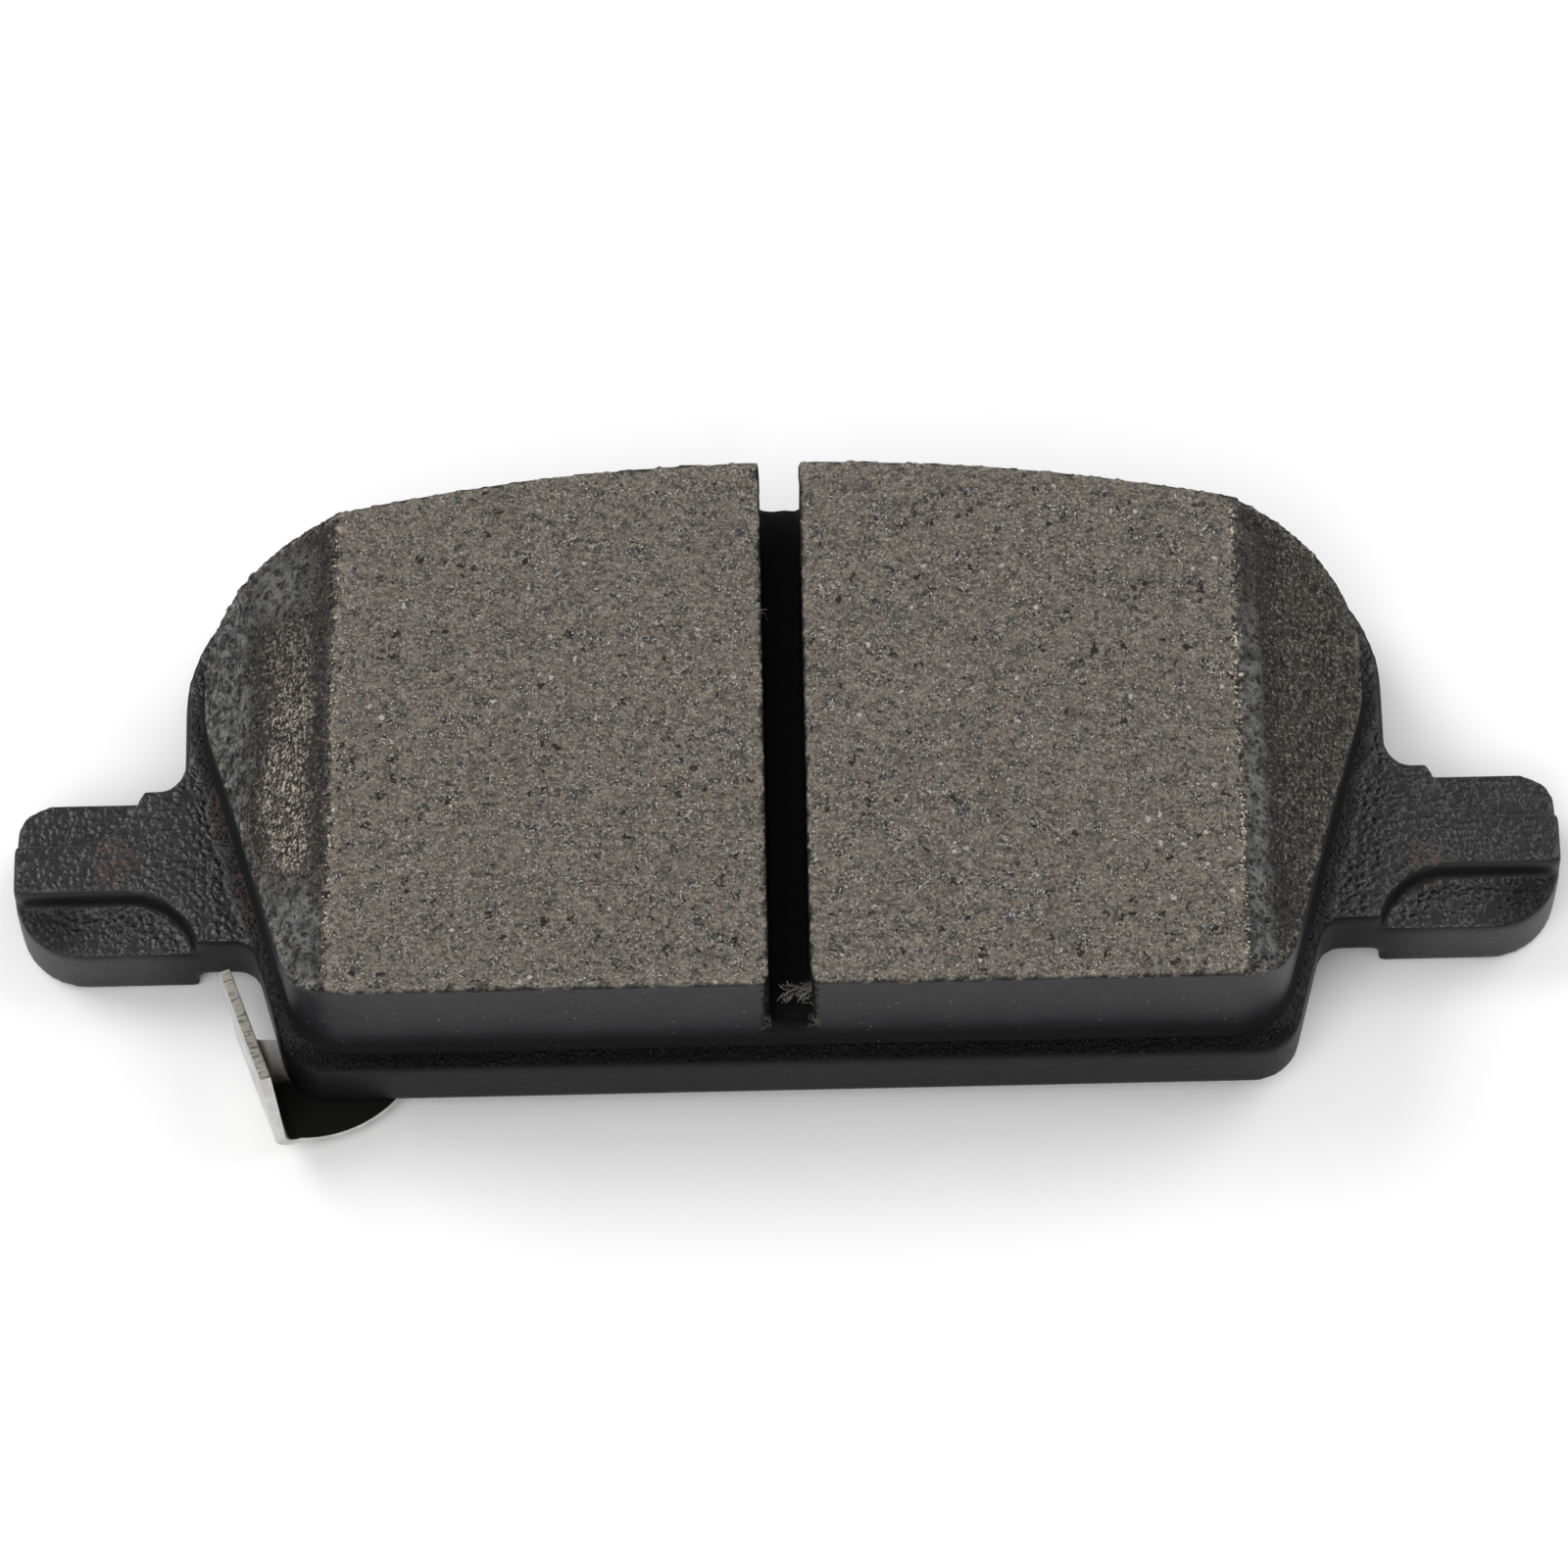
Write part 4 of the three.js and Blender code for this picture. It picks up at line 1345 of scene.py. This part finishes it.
    @staticmethod
    def _ground_move(vert: bmesh.types.BMVert, rim: float, chamfer: float) -> Vector:
        """How a point of a ground face is moved.

        Args:
            vert: the point.
            rim: 1 at the face's rim and 0 away from it.
            chamfer: 1 on the chamfers.

        Returns:
            The move, in millimetres.
        """
        spot = vert.co
        fine = noise.noise(spot * 1.9) * 0.022 + noise.noise(spot * 0.7) * 0.02
        pit = max(0.0, noise.noise(spot * 0.62 + Vector((7.0, 3.0, 1.0))) - 0.42) * 0.75
        fine -= min(pit, 0.22) * (1.2 if chamfer else 1.0)
        if chamfer:
            lines = Vector((spot.x * 1.6, spot.y * 0.12, 0.0))
            fine += noise.noise(lines) * 0.05 + noise.noise(lines * 2.3) * 0.03
        chip = max(0.0, noise.noise(spot * 1.25) + 0.10) * 0.62 + noise.noise(spot * 2.4) * 0.24
        inward = Vector((-vert.normal.x, -vert.normal.y, 0.0))
        return vert.normal * (fine - chip * rim) + inward * (chip * rim * 0.4)

    def _wall_move(self, vert: bmesh.types.BMVert) -> Vector:
        """How a point of a moulded wall or of the slot is moved.

        Args:
            vert: the point.

        Returns:
            The move, in millimetres.
        """
        spot = vert.co
        if abs(spot.x) < self.slot_half + 0.3 and spot.z > self.slot_floor - 0.2:
            ragged = noise.noise(Vector((spot.x, spot.y * 1.6, spot.z * 0.5))) * 0.09
            torn = max(0.0, -19.0 - spot.y) * (max(0.0, noise.noise(spot * 1.3) + 0.35) * 0.55
                                               + noise.noise(spot * 3.1) * 0.25)
            return vert.normal * (ragged - torn)
        near_top = max(0.0, 1.0 - (self.face - spot.z) / 0.8)
        return vert.normal * (self._swell(spot) + noise.noise(spot * 1.7) * 0.06 * near_top)

    @staticmethod
    def _swell(spot: Vector) -> float:
        """How far the moulded wall swells at a place, in millimetres."""
        around = Vector((spot.x, spot.y, spot.z * 0.3))
        return noise.noise(around * 0.35) * 0.04 + noise.noise(around * 1.3) * 0.008

    def build_underlayer(self, skin: bpy.types.Material) -> bpy.types.Object:
        """Makes the underlayer, with the small fillet that it squeezes out onto the plate.

        Args:
            skin: its material.

        Returns:
            The finished piece.
        """
        shift = -self.plate.height / 2
        shaper = prism(self.outline(), self.underlayer_back, self.back, shift)
        rings = 8
        shaper.slice_levels(
            self.underlayer_back + self.fillet_rise * step / rings for step in range(1, rings + 1))
        shaper.bm.normal_update()
        moves = []
        for vert in shaper.bm.verts:
            out = Vector((vert.normal.x, vert.normal.y, 0.0))
            if out.length < 1e-3:
                continue
            above = vert.co.z - self.underlayer_back
            fillet = self.fillet_reach * max(0.0, 1.0 - above / self.fillet_rise) ** 2.2
            uneven = 1.0 + noise.noise(vert.co * 0.7) * 0.5
            moves.append((vert, out.normalized() * (fillet * uneven + self._swell(vert.co) - 0.015)))
        for vert, move in moves:
            vert.co += move
        piece = shaper.finish("underlayer", skin, crease=60.0)
        plugs = self._plugs(skin)
        even_shading(piece)
        hand_over(piece, "underlayer_compound", "lining_underlayer")
        for plug in plugs:
            hand_over(plug, "underlayer_compound")
        return piece

    def _plugs(self, skin: bpy.types.Material) -> list[bpy.types.Object]:
        """Makes the two plugs that key the underlayer to the plate.

        Args:
            skin: their material.

        Returns:
            The finished plugs.
        """
        clearance, overlap = 0.05, 0.3
        plate = self.plate
        depth = self.underlayer_back - plate.back + overlap
        middle = (plate.back + self.underlayer_back + overlap) / 2
        plugs = []
        for name, side in (("underlayer_plug_left", -1), ("underlayer_plug_right", 1)):
            place = (side * plate.key_spread, plate.key_height - plate.height / 2, middle)
            shaper = cylinder(place, plate.key_radius - clearance, depth)
            shaper.round_edges(lambda edge: edge.calc_face_angle(0.0) > 1.0, 0.15, 2)
            plugs.append(shaper.finish(name, skin))
        return plugs


@dataclass
class WearIndicator:
    """The folded steel strip that squeals on the disc, in its own frame: u across, s up the leg."""

    plate: Plate
    sheet: float = 0.8
    bend_inside: float = 1.0
    lean: float = math.radians(19.5)
    gap: float = 1.5
    top: float = 8.3
    blade_depth: float = 1.9
    blade_start: float = -1.55
    blade_end: float = 7.35
    leg_end: float = 5.3
    crook: float = 0.8
    lobe_radius: float = 8.7
    lobe: Point = (5.0, 4.6)
    eye_radius: float = 5.0
    eye_bearing: float = math.radians(-35.0)
    bend_steps: int = 14
    tongue_cuts: tuple[float, ...] = (-5.0, 3.0, 6.0, 9.0)
    edge_round: float = 0.11
    burr: float = 0.015

    @property
    def bend_outside(self) -> float:
        """The bend's outer radius."""
        return self.bend_inside + self.sheet

    @property
    def developed(self) -> float:
        """The bend's length along its middle."""
        return (self.bend_inside + self.sheet / 2) * math.pi / 2

    @property
    def eye(self) -> Point:
        """The eye's centre, in the strip's own frame."""
        reach = self.lobe_radius - self.eye_radius
        return (self.lobe[0] + math.cos(self.eye_bearing) * reach,
                self.lobe[1] + math.sin(self.eye_bearing) * reach)

    def to_pad(self, u: float, s: float) -> Point:
        """A place in the strip's own frame, as a place in the pad's plan."""
        foot = -(self.plate.side_at(0.0) + self.gap + self.sheet / math.cos(self.lean))
        return (foot + u * math.cos(self.lean) - s * math.sin(self.lean),
                -self.plate.height / 2 + u * math.sin(self.lean) + s * math.cos(self.lean))

    def _blank(self) -> list[Point]:
        """The flat blank's outline.

        Returns:
            Its points: the length past the bend's end, negative through the bend and up the leg, and s.
        """
        bend = self.bend_outside
        leg_start = self.lobe[1] - math.sqrt(self.lobe_radius ** 2 - (self.lobe[0] - bend) ** 2)
        low = -math.acos((bend - self.lobe[0]) / self.lobe_radius)
        edge = Vector((math.cos(self.lean), -math.sin(self.lean)))
        to_eye = Vector(self.eye) - Vector((0, self.leg_end))
        off = to_eye.x * edge.y - to_eye.y * edge.x
        along = to_eye.dot(edge) - math.sqrt(self.eye_radius ** 2 - off ** 2)
        meet = edge * along - to_eye
        lobe = Outline.arc(*self.lobe, self.lobe_radius, low, self.eye_bearing)
        eye = Outline.arc(*self.eye, self.eye_radius, self.eye_bearing, math.atan2(meet.y, meet.x) % math.tau)
        tongue = [(u - bend, s) for u, s in [*lobe, *eye[1:]]]
        leg = -self.developed
        crook = leg - (self.top - self.blade_depth - bend)
        tip = leg - (self.top - bend)
        rising = Outline.rounded([
            (leg, self.leg_end, 0), (crook, self.leg_end, self.crook), (crook, self.blade_end, 0),
            (tip, self.blade_end, 0), (tip, self.blade_start, 0), (leg, leg_start, 0)])
        return [*tongue, (0.0, self.leg_end - bend * math.tan(self.lean)), *rising]

    def _fold(self, spot: Vector) -> Vector:
        """Moves a point of the flat blank to its place on the folded strip.

        Args:
            spot: the point: blank length, s, and height through the sheet.

        Returns:
            The point as u, s and z.
        """
        length, s, depth = spot
        outside = self.bend_outside
        if length >= 0:
            return Vector((outside + length, s, depth))
        if length > -self.developed:
            angle = -length / self.developed * math.pi / 2
            radius = outside - depth
            return Vector((outside - radius * math.sin(angle), s, outside - radius * math.cos(angle)))
        return Vector((depth, s, outside - length - self.developed))

    def build(self, steel: bpy.types.Material) -> bpy.types.Object:
        """Makes the folded strip.

        Args:
            steel: its steel.

        Returns:
            The finished piece.
        """
        shaper = Shaper()
        shaper.face(self._blank(), 0.0)
        bm = shaper.bm
        cuts = [-self.developed * i / self.bend_steps for i in range(self.bend_steps + 1)]
        for cut in [*cuts, *self.tongue_cuts]:
            bmesh.ops.bisect_plane(
                bm, geom=[*bm.verts, *bm.edges, *bm.faces], plane_co=(cut, 0, 0), plane_no=(1, 0, 0))
        shaper.merge(1e-3)
        shaper.pull(list(bm.faces), (0, 0, self.sheet))
        shaper.outward()
        shaper.round_edges(self._rim_edge, self.edge_round, 2)
        for vert in bm.verts:
            u, s, z = self._fold(vert.co)
            burr = noise.noise(Vector((u, s, z)) * 1.7) * self.burr
            x, y = self.to_pad(u, s)
            vert.co = (x + burr, y + burr, z)
        shaper.outward()
        piece = shaper.finish("indicator_strip", steel)
        carve(piece, [cylinder((*self.to_pad(*self.eye), 0.0), self.plate.rivet_hole, 6.0, 40)])
        even_shading(piece)
        hand_over(piece, "indicator_steel", "wear_indicator")
        return piece

    def _rim_edge(self, edge: bmesh.types.BMEdge) -> bool:
        """Whether an edge of the flat blank is on its rim."""
        level = abs(edge.verts[0].co.z - edge.verts[1].co.z) < 1e-5
        return level and edge.calc_face_angle(0.0) > math.radians(60)


@dataclass
class Rivet:
    """The peened rivet that holds the wear indicator."""

    place: Point
    radius: float = 2.0
    head_radius: float = 3.4
    head_height: float = 1.1
    flare: float = 3.0
    flare_depth: float = 1.3
    front: float = 6.3
    turning_steps: int = 56
    crown: tuple[Point, ...] = (
        (0.0, 0.93), (0.18, 0.94), (0.30, 1.0), (0.45, 0.985), (0.62, 0.91), (0.78, 0.76), (0.90, 0.55),
        (0.975, 0.30), (1.0, 0.12))

    def build(self, steel: bpy.types.Material) -> bpy.types.Object:
        """Makes the rivet by turning its half-section.

        Args:
            steel: its steel.

        Returns:
            The finished piece.
        """
        crown = [(self.head_radius * share, -self.head_height * rise) for share, rise in self.crown]
        half = [*crown, (self.head_radius * 0.985, 0.0), (self.radius, 0.0),
                (self.radius, self.front - self.flare_depth), (self.flare, self.front - 0.06),
                (self.flare - 0.08, self.front), (0.0, self.front)]
        shaper = Shaper()
        bm = shaper.bm
        points = [bm.verts.new((r, 0, z)) for r, z in half]
        for first, second in zip(points, points[1:]):
            bm.edges.new((first, second))
        bmesh.ops.spin(
            bm, geom=[*bm.verts, *bm.edges], cent=(0, 0, 0), axis=(0, 0, 1), dvec=(0, 0, 0),
            angle=math.tau, steps=self.turning_steps, use_merge=True)
        shaper.merge()
        bmesh.ops.translate(bm, vec=(*self.place, 0), verts=bm.verts)
        shaper.outward()
        piece = shaper.finish("indicator_rivet", steel)
        even_shading(piece)
        hand_over(piece, "rivet_steel", "wear_indicator_rivet")
        return piece


@dataclass
class Crumbs:
    """Loose grit along the ground edges, and torn fibres at the slot."""

    block: Block
    grit_seed: int = 5
    fibre_seed: int = 6
    grains: int = 330
    clump_fibres: int = 46
    wall_fibres: int = 16
    corner_fibres: int = 48
    fibre_radius: float = 0.035
    fibre_bends: int = 5

    def build_grit(self, compound: bpy.types.Material) -> bpy.types.Object:
        """Scatters small grains along the chamfers' starts.

        Args:
            compound: their material.

        Returns:
            The finished piece.
        """
        chance = random.Random(self.grit_seed)
        shaper = Shaper()
        shift = -self.block.plate.height / 2
        for _ in range(self.grains):
            side = chance.choice((-1, 1, 1))
            y = chance.uniform(self.block.foot + 1.0, self.block.top - 4.5) + shift
            start = self.block.start_at(side, y)
            x = side * (start + chance.gauss(0.05, 0.16))
            size = chance.uniform(0.045, 0.14)
            sink = max(0.0, abs(x) - start) * 0.7
            turn = Matrix.Rotation(chance.uniform(0, math.tau), 4, Vector((
                chance.random(), chance.random(), 1.0)).normalized())
            shape = Matrix.Diagonal((chance.uniform(0.7, 1.6), chance.uniform(0.7, 1.3), 0.7, 1.0))
            spot = Matrix.Translation((x, y, self.block.face - sink - 0.02))
            bmesh.ops.create_icosphere(shaper.bm, subdivisions=1, radius=size, matrix=spot @ turn @ shape)
        piece = shaper.finish("lining_grit", compound, crease=20.0)
        hand_over(piece, "friction_compound")
        return piece

    def build_fibres(self, fibre: bpy.types.Material) -> bpy.types.Object:
        """Makes the torn fibres at the slot's lower exit and two at its left edge.

        Args:
            fibre: their material.

        Returns:
            The finished piece.
        """
        chance = random.Random(self.fibre_seed)
        shaper = Shaper()
        wall = self.block.slot_half
        foot = self.block.foot - self.block.plate.height / 2
        for _ in range(self.clump_fibres):
            start = Vector((chance.uniform(-0.5, 1.2), foot + chance.uniform(-0.25, 0.3),
                            chance.uniform(13.4, 15.6)))
            heading = Vector((chance.uniform(-1, 1), chance.uniform(-0.5, 0.3), chance.uniform(-0.7, 0.7)))
            self._fibre(shaper, start, heading, chance.uniform(0.3, 0.8), chance)
        for _ in range(self.wall_fibres):
            start = Vector((wall + 0.1, foot + chance.uniform(0.1, 0.6), chance.uniform(13.8, 15.4)))
            heading = Vector((-1.0, chance.uniform(-0.7, -0.1), chance.uniform(-0.5, 0.5)))
            self._fibre(shaper, start, heading, chance.uniform(0.8, 1.7), chance)
        for _ in range(self.corner_fibres):
            side = chance.choice((-1.0, 1.0))
            start = Vector((side * (wall + chance.uniform(-0.2, 0.5)), foot + 0.05,
                            self.block.slot_floor + chance.uniform(0.0, 2.0)))
            heading = Vector((side * chance.uniform(-0.6, 0.8), -0.7, chance.uniform(-0.8, 0.8)))
            self._fibre(shaper, start, heading, chance.uniform(0.2, 0.5), chance)
        nib = Vector((-wall - 0.25, 8.6, self.block.face + 0.02))
        self._fibre(shaper, nib, Vector((1.0, -0.1, 0.02)), 1.1, chance)
        self._fibre(shaper, nib + Vector((0.1, 0.12, 0)), Vector((1.0, 0.25, 0.0)), 0.6, chance)
        shaper.outward()
        piece = shaper.finish("lining_fibres", fibre, crease=60.0)
        hand_over(piece, "friction_compound")
        return piece

    def _fibre(self, shaper: Shaper, start: Vector, heading: Vector, length: float,
               chance: random.Random) -> None:
        """Grows one bent fibre.

        Args:
            shaper: where it grows.
            start: its root.
            heading: its first direction.
            length: its length, in millimetres.
            chance: where its bends come from.
        """
        ahead = heading.normalized()
        turn = Vector((0, 0, 1)).rotation_difference(ahead).to_matrix().to_4x4()
        ring = bmesh.ops.create_circle(
            shaper.bm, cap_ends=True, segments=4, radius=self.fibre_radius,
            matrix=Matrix.Translation(start) @ turn)
        tip = list(ring["verts"][0].link_faces)
        for _ in range(self.fibre_bends):
            bend = Vector((chance.uniform(-0.5, 0.5), chance.uniform(-0.5, 0.5), chance.uniform(-0.4, 0.4)))
            ahead = (ahead + bend).normalized()
            tip = shaper.pull(tip, ahead * (length / self.fibre_bends))


@dataclass
class Layers:
    """The frame's own flat layers, which keep their shape and get a finish."""

    finishes: dict[str, bpy.types.Material] = field(default_factory=dict)

    def dress(self) -> None:
        """Puts each layer's finish on its node."""
        for name, material in self.finishes.items():
            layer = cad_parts[name]
            layer.data.materials.clear()
            layer.data.materials.append(material)
            log.info("%s: dressed", name)


@dataclass(frozen=True)
class SoftBox:
    """A square area light that faces the pad; its place and width are in metres, its power in watts."""

    name: str
    place: tuple[float, float, float]
    width: float
    power: float

    def hang(self) -> None:
        """Makes the light and adds it to the scene."""
        light = bpy.data.lights.new(self.name, "AREA")
        light.shape = "SQUARE"
        light.size = self.width
        light.energy = self.power
        lamp = bpy.data.objects.new(self.name, light)
        lamp.location = self.place
        lamp.rotation_euler = (-Vector(self.place)).to_track_quat("-Z", "Y").to_euler()
        bpy.context.scene.collection.objects.link(lamp)


@dataclass
class Studio:
    """The floor, the soft lights and the camera."""

    target: Vector = field(default_factory=lambda: Vector((-0.09, -0.15, 6.3)) * MILLIMETRE)
    elevation: float = math.radians(64.40)
    azimuth: float = math.radians(0.06)
    roll: float = -0.0224
    distance: float = 0.540
    lens: float = 173.4
    sensor: float = 36.0
    view_range: tuple[float, float] = (0.01, 20.0)
    floor_reach: float = 3000.0
    floor_gap: float = 0.05
    surroundings: float = 0.42
    lights: tuple[SoftBox, ...] = (
        SoftBox("left_light", (-0.75, 0.45, 0.85), 0.62, 6.0),
        SoftBox("front_light", (-0.25, -0.60, 1.00), 0.8, 6.0),
        SoftBox("right_light", (0.75, 0.38, 0.80), 0.9, 5.2))

    def build_floor(self, paint: bpy.types.Material) -> None:
        """Lays the floor just under the pad's lowest point.

        Args:
            paint: the floor's paint.
        """
        shaper = Shaper()
        bmesh.ops.create_grid(shaper.bm, x_segments=2, y_segments=2, size=self.floor_reach)
        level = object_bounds()[0][2] / MILLIMETRE - self.floor_gap
        bmesh.ops.translate(shaper.bm, vec=(0, 0, level), verts=shaper.bm.verts)
        floor = shaper.finish("floor", paint)
        floor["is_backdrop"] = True

    def build_lights(self) -> None:
        """Hangs the soft boxes and sets the pale surroundings."""
        for box in self.lights:
            box.hang()
        world = bpy.data.worlds.new("surroundings")
        bpy.context.scene.world = world
        world.use_nodes = True
        sky = world.node_tree.nodes["Background"].inputs
        sky["Color"].default_value = (1, 1, 1, 1)
        sky["Strength"].default_value = self.surroundings

    def build_camera(self) -> None:
        """Places the camera and makes it the scene's own."""
        rise, turn = self.elevation, self.azimuth
        right = Vector((math.cos(turn), math.sin(turn), 0.0))
        back = Vector((math.sin(turn) * math.cos(rise), -math.cos(turn) * math.cos(rise), math.sin(rise)))
        up = back.cross(right)
        across = right * math.cos(self.roll) + up * math.sin(self.roll)
        above = up * math.cos(self.roll) - right * math.sin(self.roll)
        data = bpy.data.cameras.new("camera")
        data.lens = self.lens
        data.sensor_width = self.sensor
        data.clip_start, data.clip_end = self.view_range
        camera = bpy.data.objects.new("camera", data)
        pose = Matrix((across, above, back)).transposed().to_4x4()
        camera.matrix_world = Matrix.Translation(self.target + back * self.distance) @ pose
        bpy.context.scene.collection.objects.link(camera)
        bpy.context.scene.camera = camera
        bpy.context.scene.view_settings.view_transform = "Standard"


def main() -> None:
    """Builds the pad's pieces in order, and then the studio."""
    logging.basicConfig(level=logging.INFO)
    plate = Plate()
    block = Block(plate)
    indicator = WearIndicator(plate)
    rivet_place = indicator.to_pad(*indicator.eye)
    compound = FrictionCompound().build()
    plate.build(PebblePaint().build(plate), rivet_place)
    block.build_lining(compound)
    block.build_underlayer(compound)
    indicator.build(BareSteel("strip_steel", turn=math.degrees(indicator.lean), sheared_edge_and_tongue_shadow=True).build())
    Rivet(rivet_place).build(BareSteel("rivet_steel", rough=0.4).build())
    crumbs = Crumbs(block)
    crumbs.build_grit(BondFilm("grit", pale=(0.50, 0.44, 0.36), dark=(0.17, 0.15, 0.12)).build())
    crumbs.build_fibres(BondFilm("fibre", pale=(0.115, 0.103, 0.088), dark=(0.022, 0.020, 0.018)).build())
    Layers({
        "bonding_adhesive": BondFilm("bond_film").build(),
        "shim_outer_rubber": ShimRubber("outer_rubber").build(),
        "shim_steel_core": BareSteel("shim_steel", tone=(0.42, 0.43, 0.44)).build(),
        "shim_inner_rubber": ShimRubber("inner_rubber").build(),
        "shim_adhesive": BondFilm("shim_glue", pale=(0.33, 0.29, 0.22), dark=(0.16, 0.14, 0.11)).build(),
    }).dress()
    studio = Studio()
    studio.build_floor(PaleFloor().build())
    studio.build_lights()
    studio.build_camera()


if __name__ == "__main__":
    main()
